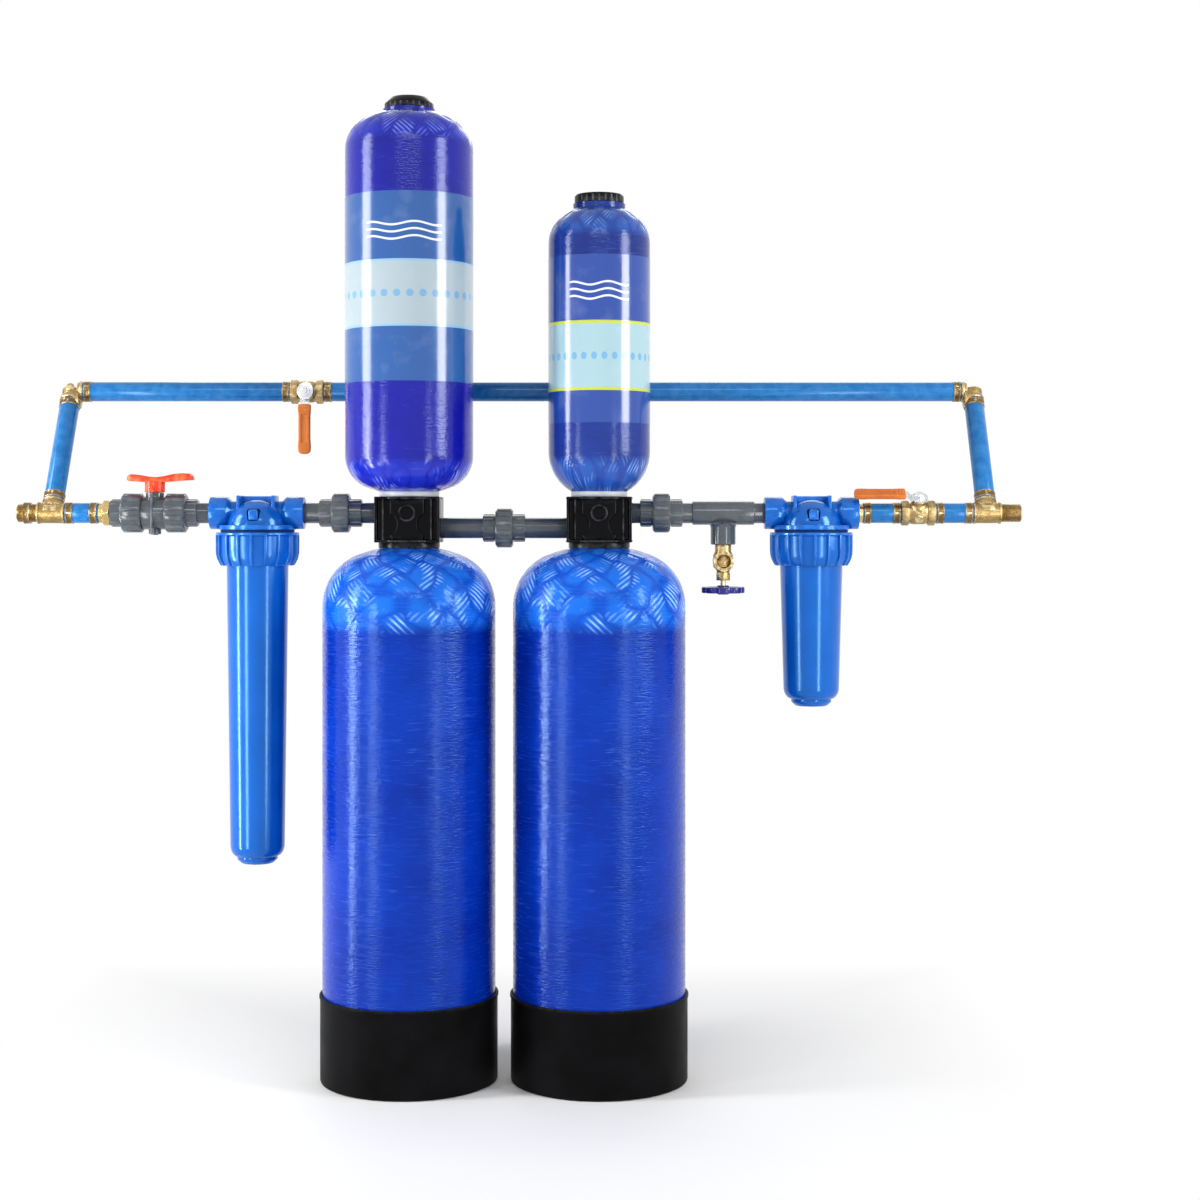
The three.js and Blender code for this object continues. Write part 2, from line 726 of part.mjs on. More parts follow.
function filterCap() {
  const flangeBand = [[0, flangeBottom], [flangeRadius, flangeBottom], [flangeRadius, -flangeTop]];
  const domeArc = arc(0, 0, 1, 0, Math.PI / 2, domeSteps)
    .map(([across, up]) => [domeRadius * across, domeHeight * up - flangeTop]);
  const dome = turned([...flangeBand, ...domeArc], filterFacets);
  const pad = block(padWidth, padDepth, 0, padTop);
  const well = block(padWidth - 2 * padFin, padDepth + overrun, padTop - padFin, padTop + overrun);
  const inner = capWidth / 2 - portLength;
  const boss = turned([
    [0, 0], [crossRadius, 0], [crossRadius, inner - portTaper], [portRadius, inner],
    [portRadius, capWidth / 2], [0, capWidth / 2],
  ], pipeFacets);
  const spigotLow = flangeBottom - spigotLength;
  const spigot = turned([
    [spigotRadius - spigotWall, spigotLow], [spigotRadius, spigotLow], [spigotRadius, flangeBottom + fit],
    [spigotRadius - spigotWall, flangeBottom + fit], [spigotRadius - spigotWall, spigotLow],
  ], filterFacets);
  const post = rod(cartridgeSpigot, flangeBottom - postReach, flangeBottom + fit, pipeFacets);
  const socket = rod(pvcRadius + fit, capWidth / 2 - portSocket, capWidth / 2 + overrun, pipeFacets);
  const outPassage = rod(pvcBore, 0, capWidth / 2, pipeFacets);
  const ring = (cartridgeRadius + spigotRadius - spigotWall) / 2;
  const inPassage = rod(pvcBore, ring, capWidth / 2, pipeFacets);
  const inletHole = rod(inletHoleRadius, flangeBottom - overrun, 0, smallFacets).translate([-ring, 0, 0]);
  const down = rod(pvcBore - fit, spigotLow, 0, pipeFacets);
  const slot = block(buttonWidth + 2 * fit, buttonReach, -buttonHeight / 2 - fit, buttonHeight / 2 + fit)
    .translate([0, -buttonReach / 2 - buttonSink, -buttonDrop]);
  const shell = join(dome, pad, alongX(boss), alongMinusX(boss), spigot, post);
  const outlet = alongX(join(socket, outPassage));
  const inlet = alongMinusX(join(socket, inPassage));
  return cut(shell, well, outlet, inlet, inletHole, down, slot);
}

function pressureButton() {
  const depth = buttonFace - buttonSink - fit - buttonTravel;
  const shape = new THREE.Shape();
  const half = buttonWidth / 2;
  shape.moveTo(-half, -buttonHeight / 2);
  shape.lineTo(half, -buttonHeight / 2);
  shape.lineTo(half, buttonHeight / 2 - half);
  shape.absarc(0, buttonHeight / 2 - half, half, 0, Math.PI, false);
  shape.closePath();
  const key = towardsFront(extruded(shape, depth));
  return key.translate([0, -buttonSink - fit - buttonTravel, -buttonDrop]);
}

const buttonLevel = (flangeTop - buttonDrop) / domeHeight;
const buttonFace = domeRadius * Math.sqrt(1 - buttonLevel ** 2) + buttonProud;

function sump(filter) {
  const collarLow = collarTop - collarLength;
  const taperStart = collarLow + collarTaper;
  const footTop = -filter.depth + sumpFootHeight;
  const wallLow = footTop + sumpRound;
  const floor = footTop + sumpWall / 2;
  const across = filter.lowRadius - sumpFootRadius;
  const roundArc = arc(0, 0, 1, -Math.PI / 2, 0, domeSteps)
    .map(([out, up]) => [sumpFootRadius + across * out, wallLow + sumpRound * up]);
  const inner = filter.lowRadius - sumpWall;
  const innerTop = filter.topRadius - sumpWall;
  const threadBore = turningBore(spigotRadius, filterFacets);
  const bandRadius = collarRadius + collarRibHeight;
  const bandLow = collarTop - collarBandHeight;
  const threadLow = flangeBottom - spigotLength - fit;
  const shell = turned([
    [0, -filter.depth], [sumpFootRadius - sumpFootChamfer, -filter.depth],
    [sumpFootRadius, -filter.depth + sumpFootChamfer], ...roundArc,
    [filter.topRadius, collarLow], [collarFootRadius, collarLow], [collarRadius, taperStart],
    [collarRadius, bandLow], [bandRadius, bandLow], [bandRadius, collarTop], [threadBore, collarTop],
    [threadBore, threadLow], [innerTop, threadLow - sumpWall], [inner, wallLow],
    [sumpFootRadius - sumpWall, floor], [0, floor],
  ], filterFacets);
  const root = (threadBore + collarFootRadius) / 2;
  const blade = new THREE.Shape();
  blade.moveTo(root, collarLow);
  blade.lineTo(collarFootRadius + collarRibHeight / 2, collarLow);
  blade.lineTo(bandRadius, taperStart);
  blade.lineTo(bandRadius, bandLow);
  blade.lineTo(root, bandLow);
  blade.closePath();
  const rib = towardsFront(extruded(blade, collarRibWidth)).translate([0, collarRibWidth / 2, 0]);
  const atCorner = rib.rotate([0, 0, 180 / collarRibs]);
  return join(shell, ...around(atCorner, collarRibs));
}

function sealRing() {
  const middle = (flangeBottom + collarTop) / 2;
  const centre = (spigotRadius + collarRadius) / 2;
  const section = arc(centre, middle, sealSection, -Math.PI, Math.PI, sealSteps);
  return turned(section, filterFacets);
}

function cartridge(filter) {
  const top = flangeBottom - cartridgeSink;
  const seat = -filter.depth + sumpFootHeight + sumpWall / 2 + fit;
  const seatRadius = cartridgeRadius - (filter.lowRadius - sumpFootRadius);
  return turned([
    [cartridgeBore, seat], [seatRadius, seat], [cartridgeRadius, seat + sumpRound],
    [cartridgeRadius, top], [cartridgeBore, top], [cartridgeBore, seat],
  ], filterFacets);
}

function addFilter(filter, x) {
  const group = addGroup(part, x, 0, runHeight);
  addPiece(group, `${filter.name}_cap`, filterCap(), bluePlastic, 0.35);
  addPiece(group, `${filter.name}_button`, pressureButton(), bluePlastic, 0.35);
  addPiece(group, `${filter.name}_sump`, sump(filter), bluePlastic, 0.3);
  addPiece(group, `${filter.name}_seal`, sealRing(), blackPlastic, 0.7);
  addPiece(group, `${filter.name}_cartridge`, cartridge(filter), whiteFibre, 0.9);
}

addFilter(longFilter, longFilterX);
addFilter(shortFilter, shortFilterX);

// Inlet ball valve
const inletValveX = longFilterX - capWidth / 2 - filterToValve - valveLength / 2;

function valveBody() {
  const barrel = steppedTube(valveSeatBore, -valveThreadEnd, [
    [valveThreadEnd - valveNutNear + fit, unionThreadRadius],
    [2 * valveNutNear - 2 * fit, valveBodyRadius],
    [valveThreadEnd - valveNutNear + fit, unionThreadRadius],
  ], pipeFacets);
  const tower = rod(valveTowerRadius, 0, valveTowerTop, pipeFacets);
  const foot = rod(valveFootRadius, -valveFootDepth, 0, smallFacets);
  const bore = rod(valveSeatBore, -valveThreadEnd - overrun, valveThreadEnd + overrun, pipeFacets);
  const stemBore = rod(turningBore(valveStemRadius, smallFacets), 0, valveTowerTop + overrun, smallFacets);
  return cut(join(alongX(barrel), tower, foot), alongX(bore), stemBore);
}

// Each end seats on the ball, carries its nut on a flange, and takes what the run brings to it
function valveEnd(outside) {
  const seatFace = Math.sqrt(valveBallRadius ** 2 - pvcBore ** 2) + ballGap;
  const flangeNear = valveThreadEnd + fit;
  const flangeFar = valveNutFar - unionLip - fit;
  return steppedTube(pvcBore, seatFace, [
    [flangeNear - seatFace, valveBallRadius],
    [flangeFar - flangeNear, unionThreadRadius],
    [valveLength / 2 - flangeFar, unionSocketRadius],
    ...outside,
  ], pipeFacets);
}

function valveBall() {
  const sphere = ball(valveBallRadius);
  const stem = rod(valveStemRadius, 0, valveStemTop, smallFacets);
  const bore = alongX(rod(pvcBore, -valveBallRadius - overrun, valveBallRadius + overrun, pipeFacets));
  return cut(join(sphere, stem), bore);
}

// The red wing handle: a hub, and one bar that dips over the hub and swells to its two tips
function wingHandle() {
  const low = valveTowerTop + fit;
  const hubTop = low + handleHubHeight;
  const hub = rod(handleHubRadius, low, hubTop, pipeFacets);
  const side = new THREE.Shape();
  const top = hubTop + handleThickness + handleDip;
  side.moveTo(-handleShortArm, hubTop + handleDip / 2);
  side.lineTo(0, hubTop - handleDip / 2);
  side.quadraticCurveTo(handleLongArm / 2, hubTop - handleDip / 2, handleLongArm, hubTop + handleDip / 2);
  side.lineTo(handleLongArm - handleDip, top);
  side.quadraticCurveTo(handleHubRadius, top, 0, hubTop + handleThickness - handleDip / 2);
  side.quadraticCurveTo(-handleHubRadius, top, -handleShortArm + handleDip, top);
  side.closePath();
  const bar = towardsFront(extruded(side, handleWidth)).translate([0, handleWidth / 2, 0]);
  const plan = new THREE.Shape();
  const tip = handleWidth / 2;
  plan.moveTo(-handleShortArm + tip, -tip);
  plan.lineTo(handleLongArm - tip, -tip);
  plan.absarc(handleLongArm - tip, 0, tip, -Math.PI / 2, Math.PI / 2, false);
  plan.lineTo(-handleShortArm + tip, tip);
  plan.absarc(-handleShortArm + tip, 0, tip, Math.PI / 2, -Math.PI / 2, false);
  plan.closePath();
  const planBlock = extruded(plan, top + overrun);
  const stemBore = rod(valveStemRadius + fit, 0, valveStemTop + fit, smallFacets);
  return cut(join(hub, bar.intersect(planBlock)), stemBore);
}

const valveGroup = addGroup(part, inletValveX, 0, runHeight);
const threadFoot = valveLength / 2 - adapterThreadLength - fit;
const adapterBore = rod(adapterThread + fit, threadFoot, valveLength / 2 + overrun, pipeFacets);
const leftValveEnd = cut(valveEnd([]), adapterBore);
const rightValveEnd = valveEnd([[filterToValve + portInsert, pvcRadius]]);
addPiece(valveGroup, 'inlet_valve_body', valveBody(), greyPlastic);
addPiece(valveGroup, 'inlet_valve_left_end', alongMinusX(leftValveEnd), greyPlastic);
addPiece(valveGroup, 'inlet_valve_right_end', alongX(rightValveEnd), greyPlastic);
const valveNut = ribbedNut(valveNutNear, valveNutFar);
addPiece(valveGroup, 'inlet_valve_left_nut', alongMinusX(valveNut), greyPlastic);
addPiece(valveGroup, 'inlet_valve_right_nut', alongX(valveNut), greyPlastic);
addPiece(valveGroup, 'inlet_valve_ball', valveBall(), greyPlastic, 0.3);
addPiece(valveGroup, 'inlet_valve_handle', wingHandle(), redPlastic, 0.4);

// Brass adapter between the blue inlet pipe and the valve, along -X
const adapterX = inletValveX - valveLength / 2;

function inletAdapter() {
  const shoulder = adapterLength - adapterHexLength;
  const rear = rod(adapterThread, -adapterThreadLength, adapterHexLength / 2, pipeFacets);
  const hex = hexPrism(adapterHexRadius, fit, adapterHexLength);
  const neck = rod(adapterShoulder, adapterHexLength - fit, adapterHexLength + shoulder - fit, pipeFacets);
  const barbEnd = adapterLength + barbLength;
  const barb = rod(barbRadius, 0, barbEnd, pipeFacets);
  const bore = rod(barbBore, -adapterThreadLength - overrun, barbEnd + overrun, pipeFacets);
  return cut(join(rear, hex, neck, barb), bore);
}

const adapterGroup = addGroup(part, adapterX, 0, runHeight);
addPiece(adapterGroup, 'inlet_adapter', alongMinusX(inletAdapter()), brassColour, 0.35, 0.9);

// Blue pipe with its two crimp rings, along Z from 0 to its length
function crimpedPipe(length) {
  const ringRadius = bluePipeRadius + ringProud;
  return steppedTube(bluePipeBore, 0, [
    [ringWidth, ringRadius], [length - 2 * ringWidth, bluePipeRadius], [ringWidth, ringRadius],
  ], pipeFacets);
}

function addPipe(parent, name, x, z, length, upright) {
  const group = addGroup(parent, x, 0, z);
  const pipe = crimpedPipe(length);
  addPiece(group, name, upright ? pipe : alongX(pipe), bluePipe, 0.35);
}

const inletPipeEnd = adapterX - adapterLength - fit;
const inletTeeX = inletPipeEnd - inletPipeLength - fit - brassTeeLength / 2;
addPipe(part, 'inlet_pipe', inletPipeEnd - inletPipeLength, runHeight, inletPipeLength, false);

// Brass tee: run along X with a barb on +X, a nipple on -X and a barb upwards
function brassTee(withRing) {
  const half = brassTeeLength / 2;
  const run = steppedTube(0, -half, [
    [brassCollar, brassTeeRadius + brassCollarProud], [brassTeeLength - 2 * brassCollar, brassTeeRadius],
    [brassCollar, brassTeeRadius + brassCollarProud],
  ], pipeFacets);
  const barb = rod(barbRadius, 0, half + barbLength, pipeFacets);
  const nipple = rod(nippleRadius, 0, half + nippleLength, pipeFacets);
  const riser = steppedTube(0, 0, [
    [half - brassCollar, brassTeeRadius], [brassCollar, brassTeeRadius + brassCollarProud],
    [barbLength, barbRadius],
  ], pipeFacets);
  const bore = rod(barbBore, -half - nippleLength - overrun, half + barbLength + overrun, pipeFacets);
  const mouth = rod(nippleBore, half, half + nippleLength + overrun, pipeFacets);
  const upBore = rod(barbBore, 0, half + barbLength + overrun, pipeFacets);
  const pieces = [alongX(run), alongX(barb), alongMinusX(nipple), riser];
  if (withRing) {
    const ringLow = half + nippleRing;
    pieces.push(alongMinusX(rod(bluePipeRadius + ringProud, ringLow, ringLow + ringWidth, pipeFacets)));
  }
  return cut(join(...pieces), alongX(bore), alongMinusX(mouth), upBore);
}

// The bypass loop leans back from the run so that its long pipes pass behind the upper tanks
const loopReach = Math.hypot(bypassDepth, bypassRise);
const loopLean = Math.atan2(bypassDepth, bypassRise);
const loop = addGroup(part, 0, 0, runHeight);
loop.rotation.x = -loopLean;
const inletTeeGroup = addGroup(loop, inletTeeX, 0, 0);
addPiece(inletTeeGroup, 'inlet_tee', brassTee(true), brassColour, 0.35, 0.9);

// Outlet side: barb from the short filter with its blue pipe, lever valve, blue pipe and tee
const shortFilterEnd = shortFilterX + capWidth / 2;
const outletPipeX = shortFilterEnd + outletBarbLength + fit;
const outletValveX = outletPipeX + outletPipeLength + fit + leverValveLength / 2;
const lastPipeX = outletValveX + leverValveLength / 2 + fit;
const outletTeeX = lastPipeX + lastPipeLength + fit + brassTeeLength / 2;

function outletStub() {
  const spigot = steppedTube(barbBore, -portInsert, [
    [portInsert + fit, pvcRadius], [outletBarbLength, adapterShoulder],
    [barbLength, bluePipeBore + fit],
  ], pipeFacets);
  return join(spigot, crimpedPipe(outletPipeLength).translate([0, 0, outletBarbLength + fit]));
}

const outletStubGroup = addGroup(part, shortFilterEnd, 0, runHeight);
addPiece(outletStubGroup, 'outlet_pipe', alongX(outletStub()), bluePipe, 0.35);
addPipe(part, 'last_pipe', lastPipeX, runHeight, lastPipeLength, false);

const outletTeeGroup = addGroup(loop, outletTeeX, 0, 0);
const outletTee = addPiece(outletTeeGroup, 'outlet_tee', brassTee(false), brassColour, 0.35, 0.9);
outletTee.rotation.z = Math.PI;

// Bypass loop: a riser pipe at each side, two elbows and two long pipes with the bypass valve between
const riserPipeLow = brassTeeLength / 2 + fit;
const riserPipeLength = loopReach - elbowReach - fit - riserPipeLow;
addPipe(loop, 'left_riser_pipe', inletTeeX, riserPipeLow, riserPipeLength, true);
addPipe(loop, 'right_riser_pipe', outletTeeX, riserPipeLow, riserPipeLength, true);

// The elbow turns from straight down to +X round a ball corner
function brassElbow() {
  const corner = ball(elbowRadius);
  const leg = steppedTube(0, 0, [
    [elbowReach - brassCollar, elbowRadius], [brassCollar, brassTeeRadius + brassCollarProud],
    [barbLength, barbRadius],
  ], pipeFacets);
  const bore = rod(barbBore, 0, elbowReach + barbLength + overrun, pipeFacets);
  const down = (body) => body.rotate([180, 0, 0]);
  return cut(join(corner, alongX(leg), down(leg)), alongX(bore), down(bore));
}

const leftElbowGroup = addGroup(loop, inletTeeX, 0, loopReach);
addPiece(leftElbowGroup, 'left_elbow', brassElbow(), brassColour, 0.35, 0.9);
const rightElbowGroup = addGroup(loop, outletTeeX, 0, loopReach);
const rightElbow = addPiece(rightElbowGroup, 'right_elbow', brassElbow(), brassColour, 0.35, 0.9);
rightElbow.rotation.z = Math.PI;

const bypassValveX = inletTeeX + bypassValveFromElbow;
const leftBypassX = inletTeeX + elbowReach + fit;
const leftBypassLength = bypassValveX - leverValveLength / 2 - fit - leftBypassX;
const rightBypassX = bypassValveX + leverValveLength / 2 + fit;
const rightBypassLength = outletTeeX - elbowReach - fit - rightBypassX;
addPipe(loop, 'left_bypass_pipe', leftBypassX, loopReach, leftBypassLength, false);
addPipe(loop, 'right_bypass_pipe', rightBypassX, loopReach, rightBypassLength, false);

// Lever ball valve: its run lies along X and its stem stands along Z before it is turned into place
function leverValveBody() {
  const half = leverValveLength / 2;
  const hexEnd = hexPrism(leverValveHex, half - leverValveHexLength, half);
  const waist = rod(leverValveWaist, -half + fit, half - fit, pipeFacets);
  const boss = rod(leverValveBossRadius, 0, leverValveBossTop, smallFacets);
  const barb = rod(barbRadius, 0, half + barbLength, pipeFacets);
  const bore = rod(leverBallBore, -half - barbLength - overrun, half + barbLength + overrun, pipeFacets);
  const chamber = ball(turningBore(leverBallRadius, pipeFacets));
  const stemHole = turningBore(leverStemRadius, smallFacets);
  const stemBore = rod(stemHole, 0, leverValveBossTop + overrun, smallFacets);
  return cut(
    join(alongX(hexEnd), alongMinusX(hexEnd), alongX(waist), boss, alongX(barb), alongMinusX(barb)),
    alongX(bore), chamber, stemBore,
  );
}

function leverBall() {
  const sphere = ball(leverBallRadius);
  const nutLow = leverRise + leverPlate + fit;
  const stem = rod(leverStemRadius, 0, nutLow + leverNutHeight / 2, smallFacets);
  const nut = hexPrism(leverNutRadius, nutLow, nutLow + leverNutHeight);
  const bore = alongX(rod(leverBallBore, -leverBallRadius - overrun, leverBallRadius + overrun, pipeFacets));
  return cut(join(sphere, stem, nut), bore);
}

// The lever points along -X: a round hub, a neck with a joggle away from the pipe, and the grip
function leverWithGrip() {
  const gripStart = leverHubRadius + leverNeckLength / 2;
  const side = new THREE.Shape();
  const high = leverRise + leverJoggle;
  side.moveTo(-leverHubRadius, leverRise);
  side.lineTo(leverHubRadius, leverRise);
  side.lineTo(gripStart, high);
  side.lineTo(leverLength - overrun, high);
  side.lineTo(leverLength - overrun, high + leverPlate);
  side.lineTo(gripStart - leverPlate / 2, high + leverPlate);
  side.lineTo(leverHubRadius - leverPlate / 2, leverRise + leverPlate);
  side.lineTo(-leverHubRadius, leverRise + leverPlate);
  side.closePath();
  const strap = towardsFront(extruded(side, 2 * leverHubRadius)).translate([0, leverHubRadius, 0]);
  const hub = rod(leverHubRadius, 0, high + overrun + leverPlate, smallFacets);
  const neck = block(leverLength, leverNeckWidth, 0, high + overrun + leverPlate)
    .translate([leverLength / 2, 0, 0]);
  const plate = strap.intersect(join(hub, neck));
  const grip = new THREE.Shape();
  const tip = gripWidth / 2;
  grip.moveTo(gripStart, -tip);
  grip.lineTo(leverLength - tip, -tip);
  grip.absarc(leverLength - tip, 0, tip, -Math.PI / 2, Math.PI / 2, false);
  grip.lineTo(gripStart, tip);
  grip.closePath();
  const sleeve = extruded(grip, gripThickness)
    .translate([0, 0, high + leverPlate / 2 - gripThickness / 2]);
  const stemBore = rod(leverStemRadius + fit, 0, high + overrun, smallFacets);
  return cut(join(plate, sleeve), stemBore).rotate([0, 0, 180]);
}

// stemTilt leans the stem up from straight towards the front, leverTurn turns the lever from -X about it
function addLeverValve(name, x, y, z, stemTilt, leverTurn) {
  const group = addGroup(part, x, y, z);
  group.rotation.x = Math.PI / 2 - THREE.MathUtils.degToRad(stemTilt);
  addPiece(group, `${name}_body`, leverValveBody(), brassColour, 0.35, 0.9);
  const stemBall = addPiece(group, `${name}_ball`, leverBall(), steelColour, 0.2, 0.9);
  const lever = addPiece(group, `${name}_lever`, leverWithGrip(), orangeGrip, 0.5);
  stemBall.rotation.z = leverTurn;
  lever.rotation.z = leverTurn;
}

addLeverValve('bypass_valve', bypassValveX, bypassDepth, bypassHeight, 0, Math.PI / 2);
addLeverValve('outlet_valve', outletValveX, 0, runHeight, outletValveTilt, 0);

export default part;
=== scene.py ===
import math

import bpy
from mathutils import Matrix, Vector


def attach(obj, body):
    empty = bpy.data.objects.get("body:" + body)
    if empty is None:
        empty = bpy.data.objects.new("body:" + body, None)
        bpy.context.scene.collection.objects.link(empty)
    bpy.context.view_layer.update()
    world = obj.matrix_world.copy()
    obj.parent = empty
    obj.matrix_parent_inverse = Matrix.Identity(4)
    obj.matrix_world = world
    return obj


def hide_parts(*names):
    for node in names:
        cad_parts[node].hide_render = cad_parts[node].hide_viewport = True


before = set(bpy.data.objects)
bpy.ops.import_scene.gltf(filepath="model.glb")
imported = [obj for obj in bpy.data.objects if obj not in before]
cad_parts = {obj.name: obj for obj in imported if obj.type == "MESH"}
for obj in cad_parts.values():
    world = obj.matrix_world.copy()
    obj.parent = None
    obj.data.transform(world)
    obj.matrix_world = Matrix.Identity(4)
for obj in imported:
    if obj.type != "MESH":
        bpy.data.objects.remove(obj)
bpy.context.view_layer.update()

# Places and sizes are in millimetres, as in the part's source. Lamps, floor and camera are in metres.
MM = 0.001

TANK_SPACING = 247
RUN_HEIGHT = 734
LOW_RUN_HEIGHT = 714.5
BYPASS_HEIGHT = 898
BYPASS_DEPTH = 104
LOOP_RISE = BYPASS_HEIGHT - RUN_HEIGHT
LOOP_REACH = math.hypot(BYPASS_DEPTH, LOOP_RISE)
LOOP_LEAN = math.degrees(math.atan2(BYPASS_DEPTH, LOOP_RISE))

FIRST_UNION_X = -88.5
LONG_FILTER_X = -197
INLET_VALVE_X = -330.5
ADAPTER_X = -387
INLET_PIPE_END = -403.3
INLET_TEE_X = -464.6
SECOND_UNION_X = 123.5
THIRD_UNION_X = 327.5
SAMPLING_TEE_X = 408
SHORT_FILTER_X = 522.5
OUTLET_STUB_X = 583.5
OUTLET_VALVE_X = 661.1
LAST_PIPE_X = 683.4
OUTLET_TEE_X = 750.7
BYPASS_VALVE_X = -146.6
OUTLET_VALVE_TURN = 36

PVC_RADIUS = 13.35
PVC_BORE = 9.4
SOCKET_RADIUS = 17
SHOULDER_RADIUS = 20.6
BLUE_PIPE_RADIUS = 13
BLUE_PIPE_BORE = 10.6
BRASS_BORE = 7.4
DOME_STEPS = 18

TANK_FACETS = 96
COLLAR_FACETS = 72
PIPE_FACETS = 48
FITTING_FACETS = 40
BARB_FACETS = 32

UP = (0, 0, 0)
HALF_TURN = (0, 0, 180)
ALONG_X = (0, 90, 0)
ALONG_MINUS_X = (0, -90, 0)
TO_FRONT = (90, 0, 0)


# Making pieces as by hand
def select_only(*pieces):
    if bpy.context.object and bpy.context.object.mode != "OBJECT":
        bpy.ops.object.mode_set(mode="OBJECT")
    bpy.ops.object.select_all(action="DESELECT")
    for piece in pieces:
        piece.select_set(True)
    bpy.context.view_layer.objects.active = pieces[0] if pieces else None


def named(name):
    """The piece that was just made, with its name."""
    piece = bpy.context.object
    piece.name = name
    return piece


def settle(piece, turn=UP, place=(0, 0, 0)):
    """Turn a piece and move it to its place, and leave both in its mesh."""
    select_only(piece)
    piece.rotation_euler = [math.radians(angle) for angle in turn]
    piece.location = Vector(place) * MM
    bpy.ops.object.transform_apply(location=True, rotation=True, scale=True)
    return piece


def moved(piece, x, y=0, z=0):
    return settle(piece, UP, (x, y, z))


def lean_back(piece):
    """From the bypass loop's own upright frame to where it leans behind the tanks."""
    return settle(piece, (-LOOP_LEAN, 0, 0), (0, 0, RUN_HEIGHT))


def joined(name, *pieces):
    select_only(*pieces)
    if len(pieces) > 1:
        bpy.ops.object.join()
    return named(name)


def around(count, radius, make, offset=0):
    """Make a piece a number of times and set the pieces out evenly round Z, `offset` steps from +X."""
    ring = []
    for index in range(count):
        piece = moved(make(), radius)
        ring.append(settle(piece, (0, 0, 360 * (index + offset) / count)))
    return ring


def apply_modifier(piece, modifier):
    select_only(piece)
    bpy.ops.object.modifier_apply(modifier=modifier.name)
    return piece


def bevelled(piece, width, segments=2, angle=32):
    edge = piece.modifiers.new("edge", "BEVEL")
    edge.width = width * MM
    edge.segments = segments
    edge.limit_method = "ANGLE"
    edge.angle_limit = math.radians(angle)
    edge.use_clamp_overlap = True
    return apply_modifier(piece, edge)


def boolean(piece, tool, operation):
    work = piece.modifiers.new("work", "BOOLEAN")
    work.operation = operation
    work.solver = "EXACT"
    work.object = tool
    apply_modifier(piece, work)
    bpy.data.objects.remove(tool, do_unlink=True)
    return piece


def bored(piece, tool):
    return boolean(piece, tool, "DIFFERENCE")


def edit_all():
    bpy.ops.object.mode_set(mode="EDIT")
    bpy.ops.mesh.select_all(action="SELECT")


def close_edit():
    """Turn all faces outwards and leave edit mode."""
    bpy.ops.mesh.select_all(action="SELECT")
    bpy.ops.mesh.normals_make_consistent(inside=False)
    bpy.ops.object.mode_set(mode="OBJECT")


def turned(name, outline, facets):
    """Spin a wire of (radius, height) points about Z, from its outer side's foot upwards."""
    select_only()
    bpy.ops.mesh.primitive_plane_add(size=MM, location=(0, 0, 0))
    piece = named(name)
    edit_all()
    bpy.ops.mesh.select_mode(type="VERT")
    bpy.ops.mesh.merge(type="CENTER")
    last = Vector((0, 0, 0))
    for index, (radius, height) in enumerate(outline):
        point = Vector((radius, 0, height)) * MM
        if index == 0:
            bpy.ops.transform.translate(value=point)
        else:
            bpy.ops.mesh.extrude_vertices_move(TRANSFORM_OT_translate={"value": point - last})
        last = point
    bpy.ops.mesh.select_all(action="SELECT")
    bpy.ops.mesh.spin(steps=facets, angle=2 * math.pi, center=(0, 0, 0), axis=(0, 0, 1))
    bpy.ops.mesh.select_all(action="SELECT")
    bpy.ops.mesh.remove_doubles(threshold=0.00001)
    close_edit()
    return piece


def hoop(name, outline, facets):
    """Spin an outline that closes on itself, clear of the axis."""
    return turned(name, [*outline, outline[0]], facets)


def rod(name, radius, low, high, facets=FITTING_FACETS):
    return turned(name, [(0, low), (radius, low), (radius, high), (0, high)], facets)


def smooth_tube(name, bore, start, steps, round_over=0.7):
    """A tube whose outside steps, with rounded edges: each step is (length, radius), from start upwards."""
    outline = [(bore, start)]
    height = start
    for length, radius in steps:
        outline.append((radius, height))
        height += length
        outline.append((radius, height))
    tube = hoop(name, [*outline, (bore, height)], PIPE_FACETS)
    return bevelled(tube, round_over, 2)


def block(name, width, depth, low, high):
    select_only()
    bpy.ops.mesh.primitive_cube_add(size=1, location=(0, 0, 0))
    piece = named(name)
    edit_all()
    bpy.ops.transform.resize(value=(width * MM, depth * MM, (high - low) * MM))
    bpy.ops.object.mode_set(mode="OBJECT")
    return moved(piece, 0, 0, (low + high) / 2)


def soft_block(name, width, depth, low, high, round_over, segments=2):
    return bevelled(block(name, width, depth, low, high), round_over, segments)


def plate(name, outline, low, high):
    """A flat outline of (x, y) points, filled and extruded from low to high along Z."""
    select_only()
    bpy.ops.mesh.primitive_circle_add(
        vertices=len(outline), radius=MM, fill_type="NGON", location=(0, 0, 0))
    piece = named(name)
    for vertex, (x, y) in zip(piece.data.vertices, outline):
        vertex.co = Vector((x, y, low)) * MM
    edit_all()
    bpy.ops.mesh.extrude_region_move(TRANSFORM_OT_translate={"value": (0, 0, (high - low) * MM)})
    close_edit()
    return piece


def soft_plate(name, outline, low, high, round_over, segments=2):
    return bevelled(plate(name, outline, low, high), round_over, segments)


def chamfered_hexagon(name, radius, low, high):
    """Hexagon with its corners turned off at both faces."""
    select_only()
    bpy.ops.mesh.primitive_cylinder_add(
        vertices=6, radius=radius * MM, depth=(high - low) * MM, location=(0, 0, 0))
    hexagon = moved(named(name), 0, 0, (low + high) / 2)
    cut = 0.08 * radius
    side = radius - 0.2
    cone = turned("cone", [
        (0, low - 6), (0.8 * radius, low - 6), (0.9 * radius, low), (side, low + cut), (side, high - cut),
        (0.9 * radius, high), (0.8 * radius, high + 6), (0, high + 6)], 60)
    return bevelled(boolean(hexagon, cone, "INTERSECT"), 0.4, 2)


